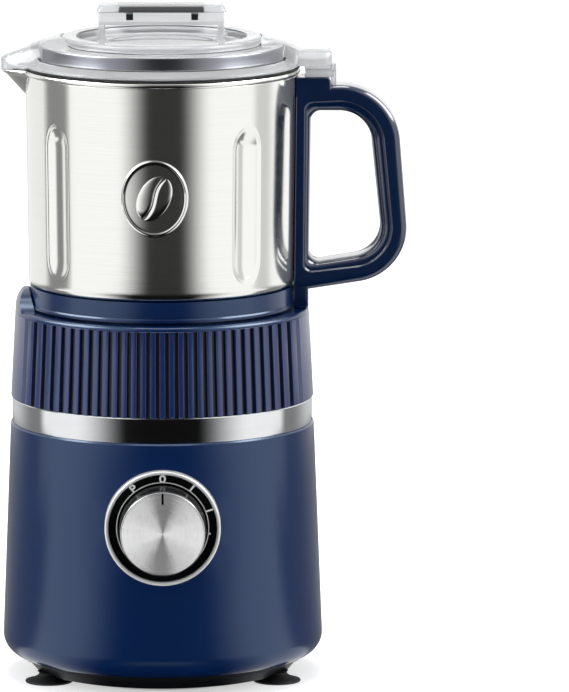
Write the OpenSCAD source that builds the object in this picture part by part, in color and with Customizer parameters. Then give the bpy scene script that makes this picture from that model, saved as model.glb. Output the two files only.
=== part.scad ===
// Electric coffee grinder: a motor base with a speed knob, a lift-off steel cup with a handle,
// and a clear lid whose tab works the safety interlock in the handle.
// Lengths are in millimetres. Z is the drive axis, the table is z = 0,
// the knob faces -Y, the handle is on +X and the pouring spout on -X.

/* [Stand] */
// Height of the flat underside above the table
ground_gap = 2; // [1.5:0.1:4]
// How far the flat underside lies in from the housing's lower edge
cover_slope = 9; // [7:0.5:13]
// Wall of the bottom cover
cover_wall = 2.4; // [1.6:0.1:3]
// Radius of a suction foot at the table
foot_r = 9.5; // [7:0.5:11]
// How far each foot's middle lies in from the housing's lower edge, sideways
foot_inset = 9.5; // [9:0.5:13]
// Front-to-back distance of each foot from the axis
foot_y = 22; // [16:0.5:23]
// Width of a cooling slot in the underside
vent_w = 3; // [2:0.5:4]
// Number of cooling slots in the underside
vent_count = 16; // [8:1:18]

/* [Housing] */
// Height of the lower edge of the housing above the table
housing_z0 = 8; // [7:0.5:11]
// Largest radius of the housing
belly_r = 64; // [62:0.5:68]
// How far the lower edge tucks in from the largest radius
foot_tuck = 9; // [6:0.5:11]
// Height from the lower edge to the largest radius
belly_rise = 8.5; // [5:0.5:12]
// Height of the housing shell
housing_h = 94.5; // [90:0.5:105]
// How much the housing's radius falls from the belly to its top edge
housing_taper = 3.4; // [2:0.1:4]
// Wall of the housing
housing_wall = 2.5; // [2:0.1:3]
// Radius of the cable inlet hole in the rear wall
inlet_r = 5; // [4:0.25:6]
// Height of the cable inlet above the lower edge of the housing
inlet_rise = 20; // [16:0.5:30]

/* [Band] */
// Height of the bright band
band_h = 10.2; // [6:0.1:14]
// How far the band lies back from the housing's top edge
band_inset = 0.8; // [0.3:0.1:1.2]

/* [Collar] */
// Height of the ribbed sleeve
sleeve_h = 34.3; // [32:0.1:40]
// How far the sleeve's lower edge lies back from the housing's top edge
sleeve_inset = 0.2; // [0:0.1:0.8]
// How much the sleeve's radius falls from its lower edge to its upper edge
sleeve_taper = 1.8; // [0.6:0.1:2]
// Angle between two ribs
rib_pitch = 3.75; // [3:0.25:6]
// Half of the ribbed sector, to each side of the front and of the back
rib_sector = 66; // [40:1:70]
// Depth of the grooves between the ribs
rib_depth = 0.9; // [0.4:0.1:1]
// Height of the rounded shoulder above the sleeve
shoulder_h = 1.6; // [1.4:0.1:4]
// Height of the lug that steadies the cup's foot on the spout's side
lug_h = 7.7; // [5:0.1:8]
// How far the wall of the well for the cup's foot lies in from the sleeve's upper edge
well_inset = 10.6; // [10.4:0.1:12.6]
// Depth of the well
well_depth = 22; // [20:0.5:24]
// Wall of the collar's skirt and well
collar_wall = 2.2; // [1.6:0.1:2.4]

/* [Cup] */
// Gap between the collar's top and the cup's foot ring
seat_gap = 0.8; // [0.5:0.1:2]
// Height of the cup's foot ring
cup_ring_h = 8.2; // [7:0.1:12]
// How far the foot ring lies in from the steel cup's bottom
ring_inset = 0.2; // [0.1:0.1:0.8]
// How far the steel cup's bottom lies in from the sleeve's upper edge
cup_inset = 5.6; // [5.2:0.1:6]
// How much wider the cup's radius is at its rim
cup_flare = 1; // [0.5:0.1:1.4]
// Height of the steel cup up to the middle of its rolled rim
cup_h = 85.9; // [80:0.1:100]
// Steel thickness
cup_wall = 0.9; // [0.7:0.1:1.2]
// Radius of the rolled rim
rim_r = 1.5; // [1:0.1:1.6]
// How far the pouring spout stands out from the rim
spout_proud = 9; // [6:0.5:11]
// Drop of the spout below the rim where it meets the wall
spout_drop = 10; // [7:0.5:14]
// Width of a pressed flute
flute_w = 13; // [8:0.5:15]
// Depth of a pressed flute
flute_depth = 1.9; // [1.2:0.1:2.5]
// Length of a pressed flute
flute_len = 61.5; // [40:0.5:66]
// Height of a flute's lower end above the cup's bottom
flute_rise = 5; // [4:0.5:10]

/* [Handle] */
// Depth of the handle, front to back
handle_depth = 19; // [16:0.5:19]
// Thickness of the spine along the cup
spine_t = 5.2; // [5:0.1:6.5]
// Reach of the grip from the cup's rim at the top
grip_proud_top = 39; // [34:0.5:44]
// Reach of the grip from the cup's rim at the bottom
grip_proud_low = 45; // [38:0.5:50]
// Thickness of the grip bar
grip_t = 10.6; // [9:0.1:13]
// Thickness of the upper and lower arms
arm_t = 10.5; // [9:0.1:12]
// Outer corner radius of the grip
grip_corner = 20; // [16:0.5:24]
// Drop of the upper arm's top below the rim
grip_drop = 5.4; // [4.5:0.1:8]

/* [Lid] */
// Height of the stepped lid above its flange's underside
lid_h = 12; // [11:0.1:18]
// How far the lid's flange stands out past the cup's rim
lid_overhang = 0.8; // [0.2:0.1:1.6]
// How far the first raised step lies in from the flange's edge
step1_inset = 5.5; // [4.8:0.1:6.2]
// How far the second raised step lies in from the first
step2_inset = 9.3; // [7:0.1:11]
// How far the sunken disc that carries the grip lies in from the second step
disc_inset = 7; // [6:0.5:11]
// Wall of the lid
lid_wall = 2; // [1.6:0.1:2.4]
// How far the beak stands out past the spout
beak_cover = 0.8; // [0.5:0.1:2]
// How far the tab over the handle stands out past the flange
tab_proud = 13.1; // [10:0.1:17]
// Width of the tab, front to back
tab_w = 20; // [14:0.5:22]
// How far each end of the lid's grip lies in from the sunken disc's edge
grip_inset = 8; // [6:0.5:13]
// Depth of the lid's grip, front to back
lid_grip_d = 17; // [12:0.5:22]
// Height of the lid's grip
lid_grip_h = 15.6; // [14:0.1:24]
// Thickness of the grip's cap
grip_cap_t = 4.4; // [3:0.1:5]

/* [Knob] */
// Depth of the knob's axis below the top edge of the housing
knob_drop = 33; // [31:0.5:38]
// Outer radius of the bright bezel
bezel_r = 22.9; // [21:0.1:24]
// Width of the bezel's ring
bezel_wall = 1.5; // [1:0.1:2]
// How far the bezel stands out of the housing's front
bezel_proud = 2.6; // [1.5:0.1:4]
// Radius of the knob
knob_r = 17; // [14:0.1:18]
// How far the knob's face stands out past the bezel
knob_proud = 12; // [8:0.5:16]

/* [Drive] */
// Radius of the motor shaft and of the blade shaft
shaft_r = 4; // [3.5:0.25:4.5]
// Length of the motor's core
core_h = 30; // [24:0.5:32]
// Width of the motor's core
core_w = 58; // [54:0.5:60]
// Radius of the armature
armature_r = 17; // [15:0.25:18]
// Gap between the blade's tips and the cup's wall
blade_gap = 9; // [7:0.5:17]
// Height of the blade above the cup's floor
blade_rise = 8; // [6.5:0.25:12]
// Number of lugs on the drive coupling
lug_count = 6; // [3:1:8]

/* [Interlock] */
// Distance of the push rod's middle from the cup's rim
rod_gap = 2.4; // [2.2:0.1:2.6]
// Radius of the push rod
rod_r = 1; // [0.8:0.1:1.1]
// Travel of the push rod
rod_travel = 2.5; // [1.5:0.1:2.7]

/* [Clearances] */
// Gap between pieces that lift apart
lift_gap = 0.3; // [0.25:0.05:0.5]
// Gap between fixed pieces that slide together
fit_gap = 0.15; // [0.05:0.05:0.2]
// Radial gap of a running shaft
run_gap = 0.05; // [0.02:0.01:0.1]
// Gap round each lug of the coupling
lug_gap = 0.4; // [0.3:0.05:0.6]

/* [Hidden] */
$fn = 96;

// Colours
navy = [0.02, 0.10, 0.27];
black = [0.06, 0.06, 0.07];
rubber_black = [0.03, 0.03, 0.03];
steel = [0.75, 0.75, 0.73];
bright = [0.85, 0.86, 0.88];
clear = [0.85, 0.90, 0.92, 0.45];
copper = [0.72, 0.40, 0.20];
brass = [0.78, 0.63, 0.30];
iron = [0.35, 0.36, 0.38];
zinc = [0.62, 0.63, 0.65];

// Radii of the stack, each from the one below it
housing_foot_r = belly_r - foot_tuck;
underside_r = housing_foot_r - cover_slope;
foot_x = housing_foot_r - foot_inset;
housing_top_r = belly_r - housing_taper;
sleeve_r0 = housing_top_r - sleeve_inset;
sleeve_r1 = sleeve_r0 - sleeve_taper;
well_r = sleeve_r1 - well_inset;
cup_r0 = sleeve_r1 - cup_inset;
cup_r1 = cup_r0 + cup_flare;
cup_ring_r = cup_r0 - ring_inset;
spout_reach = cup_r1 + spout_proud;
rod_x = cup_r1 + rod_gap;
grip_reach_top = cup_r1 + grip_proud_top;
grip_reach_low = cup_r1 + grip_proud_low;
lid_r = cup_r1 + lid_overhang;
lid_step1_r = lid_r - step1_inset;
lid_step2_r = lid_step1_r - step2_inset;
lid_disc_r = lid_step2_r - disc_inset;
beak_reach = spout_reach + beak_cover;
tab_reach = lid_r + tab_proud;
lid_grip_w = 2 * (lid_disc_r - grip_inset);
blade_r = cup_r0 - blade_gap;

// Heights of the stack, from the table up
belly_z = housing_z0 + belly_rise;
housing_z1 = housing_z0 + housing_h;
band_z1 = housing_z1 + band_h;
sleeve_z1 = band_z1 + sleeve_h;
collar_z1 = sleeve_z1 + shoulder_h;
well_z = collar_z1 - well_depth;
ring_z = collar_z1 + seat_gap;
cup_z0 = ring_z + cup_ring_h;
rim_z = cup_z0 + cup_h;
lid_z = rim_z + rim_r + lift_gap;
cup_floor_z = cup_z0 + cup_wall;

// Radius of the housing's outside and of the cup's outside at a height
function housing_r(z) = belly_r + (housing_top_r - belly_r) * (z - belly_z) / (housing_z1 - belly_z);
function cup_r(z) = cup_r0 + (cup_r1 - cup_r0) * (z - cup_z0) / cup_h;

// Points along an arc, from one angle to another
function arc(c, r, a0, a1, n) = [for (i = [0:n]) let (a = a0 + (a1 - a0) * i / n) c + r * [cos(a), sin(a)]];

// Points along a quarter of an ellipse, from its lower end outwards and up
function belly(r0, z0, dr, dz, n) = [for (i = [0:n]) let (a = 90 * i / n) [r0 + dr * sin(a), z0 + dz * (1 - cos(a))]];

function unit(v) = v / norm(v);

// Ring of a rectangular section
module tube(r_out, r_in, h) {
    difference() {
        cylinder(r = r_out, h = h);
        translate([0, 0, -1]) cylinder(r = r_in, h = h + 2);
    }
}

// Copies at equal angles round Z
module ring_of(count, radius, first = 0) {
    for (i = [0:count - 1]) rotate(first + i * 360 / count) translate([radius, 0, 0]) children();
}

// Square with round corners, centred
module round_square(w, d, r) {
    square([w - 2 * r, d], center = true);
    square([w, d - 2 * r], center = true);
    for (x = [-1, 1], y = [-1, 1]) translate([x * (w / 2 - r), y * (d / 2 - r)]) circle(r);
}

// Screw that points up from its head's seat
module screw(r, length, head_r, head_h) {
    cylinder(r = r, h = length);
    translate([0, 0, -head_h]) cylinder(r = head_r, h = head_h);
}

// The base: cover, feet and housing

cover_top_r = housing_foot_r - 0.8;
cover_spigot_r = housing_foot_r - housing_wall - fit_gap;
cover_spigot_h = 3;
foot_seat_z = ground_gap + cover_wall;
foot_stem_r = 2.2;
foot_stem_h = 5;
foot_boss_r = 5;
cover_screw_r = 1.7;
cover_screw_head_r = 3.4;
cover_screw_ring = underside_r - 6.5;
cover_screw_at = [for (s = [60, 120, 240, 300]) cover_screw_ring * [cos(s), sin(s)]];
column_r = 4.2;
column_h = 14;

module cover_solid() {
    rotate_extrude() polygon([
        [0, ground_gap], [underside_r - 1, ground_gap], [underside_r, ground_gap + 0.5],
        [cover_top_r, housing_z0 - 0.8], [cover_top_r, housing_z0],
        [cover_spigot_r, housing_z0], [cover_spigot_r, housing_z0 + cover_spigot_h],
        [cover_spigot_r - cover_wall, housing_z0 + cover_spigot_h],
        [cover_spigot_r - cover_wall, housing_z0],
        [underside_r - 1.4, ground_gap + cover_wall], [0, ground_gap + cover_wall]
    ]);
}

// Moulded cover of the underside, with cooling slots, screw seats and sockets for the feet
module bottom_cover() color(black) {
    slot_in = 14;
    slot_out = 34;
    difference() {
        union() {
            cover_solid();
            intersection() {
                for (x = [-1, 1], y = [-1, 1]) translate([x * foot_x, y * foot_y, foot_seat_z])
                    cylinder(r = foot_boss_r + 1.5, h = foot_stem_h + cover_wall);
                cylinder(r = cover_spigot_r, h = housing_z0 + cover_spigot_h);
            }
            for (p = cover_screw_at) translate([p[0], p[1], ground_gap])
                cylinder(r = cover_screw_head_r + 1.6, h = cover_wall + 2.4);
        }
        for (x = [-1, 1], y = [-1, 1]) translate([x * foot_x, y * foot_y, 0]) {
            cylinder(r = foot_boss_r + 1, h = foot_seat_z);
            cylinder(r = foot_stem_r + fit_gap, h = foot_seat_z + foot_stem_h + fit_gap);
        }
        for (p = cover_screw_at) translate([p[0], p[1], 0]) {
            cylinder(r = cover_screw_head_r + fit_gap, h = ground_gap + 2.4);
            cylinder(r = cover_screw_r + fit_gap, h = housing_z0 + 2);
        }
        for (i = [0:vent_count - 1]) rotate(i * 360 / vent_count)
            translate([slot_in, -vent_w / 2, 0]) cube([slot_out - slot_in, vent_w, 2 * foot_seat_z]);
    }
}

// Rubber suction foot: a thin bell that spreads from a pressed-in stem
module foot(sx, sy) color(rubber_black) translate([sx * foot_x, sy * foot_y, 0]) {
    neck_r = 4;
    lip = 0.9;
    rotate_extrude() polygon([
        [0, 1.6], [foot_r * 0.45, 1.3], [foot_r - 1.2, 0], [foot_r, 0], [foot_r, lip],
        [foot_r * 0.74, lip + 0.7], [foot_r * 0.55, foot_seat_z * 0.62],
        [neck_r, foot_seat_z * 0.8], [foot_boss_r - 0.4, foot_seat_z],
        [foot_stem_r, foot_seat_z], [foot_stem_r, foot_seat_z + foot_stem_h - 0.6],
        [foot_stem_r - 0.6, foot_seat_z + foot_stem_h], [0, foot_seat_z + foot_stem_h]
    ]);
}

module cover_screws() color(zinc) for (p = cover_screw_at)
    translate([p[0], p[1], ground_gap + 2.4]) screw(cover_screw_r, column_h + 2, cover_screw_head_r, 2);

spigot_r = housing_top_r - housing_wall - fit_gap;
deck_t = 2.5;
deck_z = housing_z1 - 6;
knob_z = housing_z1 - knob_drop;
front_r = housing_r(knob_z);
bezel_front = front_r + bezel_proud;
bezel_in_r = bezel_r - bezel_wall;
dial_flange_r = bezel_r + 7;
dial_flange_t = 2.2;
dial_seat = sqrt(pow(front_r - housing_wall, 2) - pow(dial_flange_r, 2)) - fit_gap;
dial_screw_at = (bezel_r + 3.6) * cos(45);
dial_screw_r = 1.2;
inlet_z = housing_z0 + inlet_rise;
post_at = sleeve_r1 - 2.4 - collar_wall - 2.6;
deck_hole_r = post_at - 6.4;
post_r = 4;
post_screw_r = 1.6;

// Local frame of the knob: its own z runs out of the housing's front
module at_knob() translate([0, 0, knob_z]) rotate([90, 0, 0]) children();

module housing_outside() {
    rotate_extrude() polygon(concat(
        [[0, housing_z0]],
        belly(housing_foot_r, housing_z0, belly_r - housing_foot_r, belly_rise, 28),
        [[housing_top_r, housing_z1 - 0.6], [housing_top_r - 0.6, housing_z1], [0, housing_z1]]
    ));
}

module housing_inside() {
    in_top = housing_top_r - housing_wall;
    deck_r = housing_r(deck_z) - housing_wall;
    union() {
        rotate_extrude() polygon(concat(
            [[0, housing_z0 - 1], [housing_foot_r - housing_wall, housing_z0 - 1]],
            belly(housing_foot_r - housing_wall, housing_z0, belly_r - housing_foot_r, belly_rise, 10),
            [[deck_r, deck_z], [0, deck_z]]
        ));
        translate([0, 0, deck_z + deck_t]) cylinder(r = in_top, h = housing_z1 - deck_z);
        cylinder(r = deck_hole_r, h = housing_z1 + 1);
    }
}

// Tapered shell with its top deck, the knob's hole, inner screw columns and the cable inlet
module housing() color(navy) {
    difference() {
        union() {
            difference() {
                housing_outside();
                housing_inside();
            }
            intersection() {
                housing_outside();
                for (p = cover_screw_at) {
                    foot_z = housing_z0 + cover_spigot_h + 1;
                    translate([p[0], p[1], foot_z]) cylinder(r = column_r, h = column_h);
                    rotate(atan2(p[1], p[0])) translate([cover_screw_ring, -1.25, foot_z + 2])
                        cube([belly_r - cover_screw_ring, 2.5, column_h - 2]);
                }
            }
            at_knob() for (x = [-1, 1], y = [-1, 1]) {
                wall_r = housing_r(knob_z + y * dial_screw_at) - housing_wall / 2;
                boss_end = sqrt(pow(wall_r, 2) - pow(dial_screw_at, 2));
                translate([x * dial_screw_at, y * dial_screw_at, dial_seat])
                    cylinder(r = 2.7, h = boss_end - dial_seat);
            }
        }
        at_knob() cylinder(r = bezel_r + fit_gap, h = belly_r + 2);
        at_knob() for (x = [-1, 1], y = [-1, 1])
            translate([x * dial_screw_at, y * dial_screw_at, dial_seat - 1])
                cylinder(r = dial_screw_r + fit_gap, h = 4.2);
        for (p = cover_screw_at) translate([p[0], p[1], housing_z0])
            cylinder(r = cover_screw_r + fit_gap, h = column_h + 1.6);
        ring_of(4, post_at, 45) translate([0, 0, deck_z - 1])
            cylinder(r = post_screw_r + 0.4, h = deck_t + 2);
        translate([0, 0, inlet_z]) rotate([-90, 0, 0]) cylinder(r = inlet_r, h = belly_r + 2);
    }
}

// Rubber bush that lines the cable inlet
module cable_grommet() color(rubber_black) {
    wall_out = housing_r(inlet_z);
    flange_t = 1.8;
    groove = housing_wall + 1.2;
    lead_r = inlet_r - 1.6;
    translate([0, wall_out + 0.4, inlet_z]) rotate([90, 0, 0]) difference() {
        union() {
            translate([0, 0, -flange_t]) cylinder(r = inlet_r + 1.8, h = flange_t);
            cylinder(r = inlet_r - fit_gap, h = groove);
            translate([0, 0, groove]) cylinder(r = inlet_r + 1.5, h = flange_t);
        }
        translate([0, 0, -flange_t - 1]) cylinder(r = lead_r, h = groove + 2 * flange_t + 2);
    }
}

// The upper body: band, collar and ribbed sleeve

band_r = housing_top_r - band_inset;
skirt_r = sleeve_r1 - 2.4;
skirt_in_r = skirt_r - collar_wall;
floor_t = 2.5;
hub_hole_r = 14;
leg_bottom = sleeve_z1 + 1.5;
pocket_half = handle_depth / 2 + lift_gap + 0.1;
switch_w = 13;
switch_d = 5;
switch_h = 6.8;
switch_z = sleeve_z1 - 10.4;
switch_x = well_r + collar_wall + 0.4;
switch_pin_y = [-4.5, 0, 4.5];
paddle_w = 4;
motor_post_at = 29;
motor_post_h = 6.5;
motor_post_r = 5;
motor_screw_r = 1.6;

module chrome_band() color(bright) translate([0, 0, housing_z1])
    tube(band_r, spigot_r + fit_gap, band_h);

// Lug with a rounded crown beside the cup's foot ring, opposite the handle
module collar_lug() {
    crown_r = 22;
    in_r = cup_ring_r + 0.2 + lift_gap;
    out_r = sleeve_r1 - 0.1;
    top = collar_z1 + lug_h;
    intersection() {
        rotate_extrude() polygon(concat(
            [[in_r, sleeve_z1 + 0.3]],
            [for (i = [0:14]) let (a = 90 * i / 14) [in_r + (out_r - in_r) * sin(a), top - lug_h * (1 - cos(a))]],
            [[out_r, sleeve_z1 + 0.3]]
        ));
        translate([-sleeve_r0 - 5, 0, top - crown_r]) rotate([0, 90, 0]) cylinder(r = crown_r, h = 20);
    }
}

// Upper housing: spigot, skirt, rounded shoulder and the well for the cup's foot
module collar() color(navy) {
    well_out = well_r + collar_wall;
    edge = min(shoulder_h, sleeve_r1 - skirt_r);
    difference() {
        union() {
            rotate_extrude() polygon(concat(
                [[skirt_in_r, deck_z + deck_t], [spigot_r, deck_z + deck_t], [spigot_r, band_z1],
                 [skirt_r, band_z1], [skirt_r, sleeve_z1], [sleeve_r1, sleeve_z1]],
                arc([sleeve_r1 - edge, collar_z1 - edge], edge, 0, 90, 16),
                [[well_r + 0.6, collar_z1], [well_r, collar_z1 - 0.6], [well_r, well_z],
                 [hub_hole_r + 3, well_z], [hub_hole_r + 2.4, well_z + 1.5],
                 [hub_hole_r, well_z + 1.5], [hub_hole_r, well_z - floor_t],
                 [well_out, well_z - floor_t], [well_out, sleeve_z1], [skirt_in_r, sleeve_z1]]
            ));
            // Posts for the screws from the housing's deck
            intersection() {
                ring_of(4, post_at, 45) translate([0, 0, deck_z + deck_t + lift_gap])
                    cylinder(r = post_r, h = well_z - deck_z - deck_t - 1);
                cylinder(r = skirt_r - 0.5, h = collar_z1);
            }
            // Posts that carry the motor
            ring_of(4, motor_post_at) translate([0, 0, well_z - floor_t - motor_post_h])
                cylinder(r = motor_post_r, h = motor_post_h + 1);
            collar_lug();
            // Shelf for the interlock switch
            translate([well_r + 0.5, -switch_w / 2 - 0.5, switch_z - 2.5])
                cube([switch_x + switch_d - well_r - 0.5, switch_w + 1, 2.5]);
        }
        ring_of(4, post_at, 45) translate([0, 0, deck_z])
            cylinder(r = post_screw_r + fit_gap, h = 18);
        ring_of(4, motor_post_at) translate([0, 0, well_z - floor_t - motor_post_h - 1])
            cylinder(r = motor_screw_r + fit_gap, h = motor_post_h + 1.5);
        // Pocket for the handle's foot, room for the switch, and the rod's slot
        translate([cup_ring_r + 0.2, -pocket_half, leg_bottom - lift_gap])
            cube([sleeve_r0, 2 * pocket_half, 2 * shoulder_h]);
        translate([skirt_in_r - 0.5, -switch_w / 2 - 1.5, switch_z - 4])
            cube([skirt_r - skirt_in_r + 1, switch_w + 3, sleeve_z1 - switch_z + 4.2]);
        for (y = switch_pin_y) translate([switch_x + 0.6, y - 0.8, switch_z - 4]) cube([1.6, 1.6, 5]);
        translate([cup_ring_r - 0.3, -paddle_w / 2 - 0.4, switch_z])
            cube([rod_x + 1.6 - cup_ring_r + 0.3, paddle_w + 0.8, 2 * switch_h]);
    }
}

// Outer sleeve: a tapered ring with round-bottomed grooves in front and behind
module ribbed_sleeve() color(navy) {
    groove_r = 1.25;
    lean = atan((sleeve_r0 - sleeve_r1) / sleeve_h);
    steps = floor(rib_sector / rib_pitch);
    top_land = 1.2;
    difference() {
        rotate_extrude() polygon([
            [skirt_r + fit_gap, band_z1], [sleeve_r0 - 1, band_z1], [sleeve_r0, band_z1 + 1.2],
            [sleeve_r1, sleeve_z1], [skirt_r + fit_gap, sleeve_z1]
        ]);
        for (side = [-90, 90], i = [-steps:steps - 1]) rotate(side + (i + 0.5) * rib_pitch)
            translate([sleeve_r0 - rib_depth + groove_r, 0, band_z1]) rotate([0, -lean, 0])
                translate([0, 0, -2]) cylinder(r = groove_r, h = sleeve_h - top_land + 2);
    }
}

module collar_screws() color(zinc) ring_of(4, post_at, 45) translate([0, 0, deck_z])
    screw(post_screw_r, 16, 3.2, 2.2);

// The knob, its dial and the rotary switch behind it

spindle_r = 3;
dish_z = bezel_front - 3;
knob_back = dish_z + 0.6;
knob_front = bezel_front + knob_proud;
switch_pin = 4;
switch_body_h = dial_seat - dial_flange_t - core_w / 2 - switch_pin - 1;
face_t = 0.8;

// Black dial with its clamping flange inside the housing
module dial() color(black) at_knob() difference() {
    rotate_extrude() polygon([
        [spindle_r + 2, dial_seat - dial_flange_t], [dial_flange_r, dial_seat - dial_flange_t],
        [dial_flange_r, dial_seat], [bezel_in_r - fit_gap, dial_seat],
        [bezel_in_r - fit_gap, bezel_front - 1.2], [knob_r + 0.9, dish_z + 0.8],
        [knob_r + 0.9, dish_z], [spindle_r + 2, dish_z]
    ]);
    for (x = [-1, 1], y = [-1, 1])
        translate([x * dial_screw_at, y * dial_screw_at, dial_seat - dial_flange_t - 1])
            cylinder(r = dial_screw_r + fit_gap, h = dial_flange_t + 2);
    translate([-dial_flange_r, deck_z - lift_gap - knob_z, dial_seat - dial_flange_t - 1])
        cube([2 * dial_flange_r, dial_flange_r, dial_flange_t + 2]);
}

// Bright ring round the dial
module dial_bezel() color(bright) at_knob() rotate_extrude() polygon(concat(
    [[bezel_in_r, dial_seat], [bezel_r, dial_seat]],
    arc([bezel_r - bezel_wall / 2, bezel_front - bezel_wall / 2], bezel_wall / 2, 0, 180, 20)
));

module dial_screws() color(zinc) at_knob() for (x = [-1, 1], y = [-1, 1])
    translate([x * dial_screw_at, y * dial_screw_at, dial_seat - dial_flange_t])
        screw(dial_screw_r, dial_flange_t + 3, 2.2, 1.5);

module rotary_switch() color(black) at_knob() {
    back = dial_seat - dial_flange_t - switch_body_h;
    difference() {
        union() {
            translate([0, 0, back]) linear_extrude(switch_body_h) round_square(26, 22, 3);
            for (x = [-8, 0, 8]) translate([x - 1.5, -4, back - switch_pin]) cube([3, 8, switch_pin + 1]);
        }
        translate([0, 0, back + 3]) cylinder(r = spindle_r + run_gap, h = switch_body_h);
    }
}

module switch_spindle() color(zinc) at_knob()
    translate([0, 0, dial_seat - dial_flange_t - switch_body_h + 4])
        cylinder(r = spindle_r, h = knob_front - dial_seat + dial_flange_t + switch_body_h - 8);

// Knob: a drafted drum with a rounded front edge and a pointer slot across its rim
module knob() color(black) at_knob() difference() {
    rotate_extrude() polygon(concat(
        [[0, knob_back], [knob_r + 0.3, knob_back]],
        arc([knob_r - 1, knob_front - 1 - face_t], 1, 0, 90, 12),
        [[0, knob_front - face_t]]
    ));
    translate([0, 0, knob_back - 1])
        cylinder(r = spindle_r + run_gap, h = knob_front - knob_back - 2.9);
}

// Spun aluminium face on the knob, with the pointer's notch
module knob_face() color(bright) at_knob() difference() {
    translate([0, 0, knob_front - face_t]) rotate_extrude() polygon([
        [0, 0], [knob_r - 0.4, 0], [knob_r - 0.4, face_t - 0.3], [knob_r - 0.8, face_t], [0, face_t - 0.25]
    ]);
    translate([-0.5, knob_r - 4.6, knob_front - face_t - 1]) cube([1, 5, 3]);
}

// The motor, hung from the collar on rubber bushes

bush_h = 2;
plate_t = 3;
plate_r = 36;
top_plate_z = well_z - floor_t - motor_post_h - bush_h - plate_t;
bolt_at = core_w / 2 - 6;
bolt_r = 2;
core_z1 = top_plate_z - 16;
core_z0 = core_z1 - core_h;
low_plate_z = core_z0 - 24;
bearing_r = 11;
bearing_h = 7;
bore_r = armature_r + 0.5;
winding_r = armature_r - 2.5;
winding_h = 5.4;
comm_r = 9.5;
comm_h = 11;
comm_z = core_z0 - winding_h - comm_h - 0.2;
brush_z = comm_z + comm_h / 2;
fan_h = 9;
fan_z = low_plate_z - fan_h - 6;
fan_r = 30;
coupling_h = 6.5;
coupling_z = well_z + 2;
coupling_core_r = 6.5;
lug_r = 9.6;
lug_w = 3.4;
pole_gap = 1;
window_in = bore_r + 0.4;
window_out = window_in + 6.5;
window_half = 12;

// Plate with a bearing boss, and posts that reach the core
module bracket(plate_z, post_z, post_h, boss_z, boss_h, pocket_z) {
    difference() {
        union() {
            translate([0, 0, plate_z]) cylinder(r = plate_r, h = plate_t);
            translate([0, 0, boss_z]) cylinder(r = bearing_r + 3, h = boss_h);
            for (x = [-1, 1], y = [-1, 1]) translate([x * bolt_at, y * bolt_at, post_z])
                cylinder(r = bolt_r + 2.2, h = post_h);
            children();
        }
        translate([0, 0, pocket_z]) cylinder(r = bearing_r + run_gap, h = bearing_h);
        translate([0, 0, boss_z - 1]) cylinder(r = bearing_r - 3, h = boss_h + 2);
        for (x = [-1, 1], y = [-1, 1]) translate([x * bolt_at, y * bolt_at, plate_z - 1])
            cylinder(r = bolt_r + fit_gap, h = plate_t + post_h + 2);
        for (x = [-1, 1], y = [-1, 1]) translate([x * bolt_at, y * bolt_at, post_z - 1])
            cylinder(r = bolt_r + fit_gap, h = plate_t + post_h + 2);
    }
}

module motor_top_bracket() color(zinc) difference() {
    bracket(top_plate_z, core_z1, top_plate_z - core_z1, top_plate_z - 3, bearing_h + 1,
            top_plate_z - 2);
    ring_of(4, motor_post_at) translate([0, 0, top_plate_z - 1])
        cylinder(r = motor_screw_r + 0.6, h = plate_t + 2);
}

module motor_bottom_bracket() color(zinc)
    bracket(low_plate_z, low_plate_z + plate_t, core_z0 - low_plate_z - plate_t,
            low_plate_z - 3, bearing_h + 1, low_plate_z - 3) {
        for (s = [-1, 1]) translate([-6, s * 20 - 5, low_plate_z + plate_t - 0.5])
            cube([12, 10, brush_z - 4.5 - low_plate_z - plate_t + 0.5]);
    }

// Ball bearing: two races and its shields
module bearing(z) translate([0, 0, z]) rotate_extrude() polygon([
    [shaft_r + run_gap, 0], [shaft_r + 2, 0], [shaft_r + 2, 0.5], [bearing_r - 2, 0.5],
    [bearing_r - 2, 0], [bearing_r, 0], [bearing_r, bearing_h], [bearing_r - 2, bearing_h],
    [bearing_r - 2, bearing_h - 0.5], [shaft_r + 2, bearing_h - 0.5], [shaft_r + 2, bearing_h],
    [shaft_r + run_gap, bearing_h]
]);

module motor_top_bearing() color(steel) bearing(top_plate_z - 2);

module motor_bottom_bearing() color(steel) bearing(low_plate_z - 3);

// Stack of laminations with the bore, two winding windows and bolt holes
module stator() color(iron) translate([0, 0, core_z0]) linear_extrude(core_h) difference() {
    round_square(core_w, core_w, 6);
    circle(bore_r);
    for (s = [-1, 1]) translate([s * (window_in + window_out) / 2, 0])
        square([window_out - window_in, 2 * window_half], center = true);
    for (x = [-1, 1], y = [-1, 1]) translate([x * bolt_at, y * bolt_at]) circle(bolt_r + fit_gap);
}

// One field coil: two straight sides in the windows and a half-ring at each end of the core
module field_coil() {
    side_h = core_h + 2 * winding_h;
    for (s = [-1, 1]) translate([s > 0 ? window_in + 0.5 : -window_out + 0.5, pole_gap, core_z0 - winding_h])
        cube([window_out - window_in - 1, window_half - pole_gap - 0.4, side_h]);
    for (z = [core_z0 - winding_h, core_z1 + 0.3]) translate([0, 0, z]) intersection() {
        tube(window_out + 2, bore_r + 0.5, winding_h - 0.3);
        translate([-core_w, pole_gap, -1]) cube([2 * core_w, core_w, winding_h + 2]);
    }
}

module field_coils() color(copper) for (a = [0, 180]) rotate(a) field_coil();

module motor_bolts() color(zinc) for (x = [-1, 1], y = [-1, 1])
    translate([x * bolt_at, y * bolt_at, low_plate_z]) {
        screw(bolt_r, top_plate_z + plate_t - low_plate_z + 3, 3.6, 2.4);
        translate([0, 0, top_plate_z + plate_t - low_plate_z]) difference() {
            cylinder(r = 3.8, h = 2.4, $fn = 6);
            translate([0, 0, -1]) cylinder(r = bolt_r + run_gap, h = 5);
        }
    }

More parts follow.
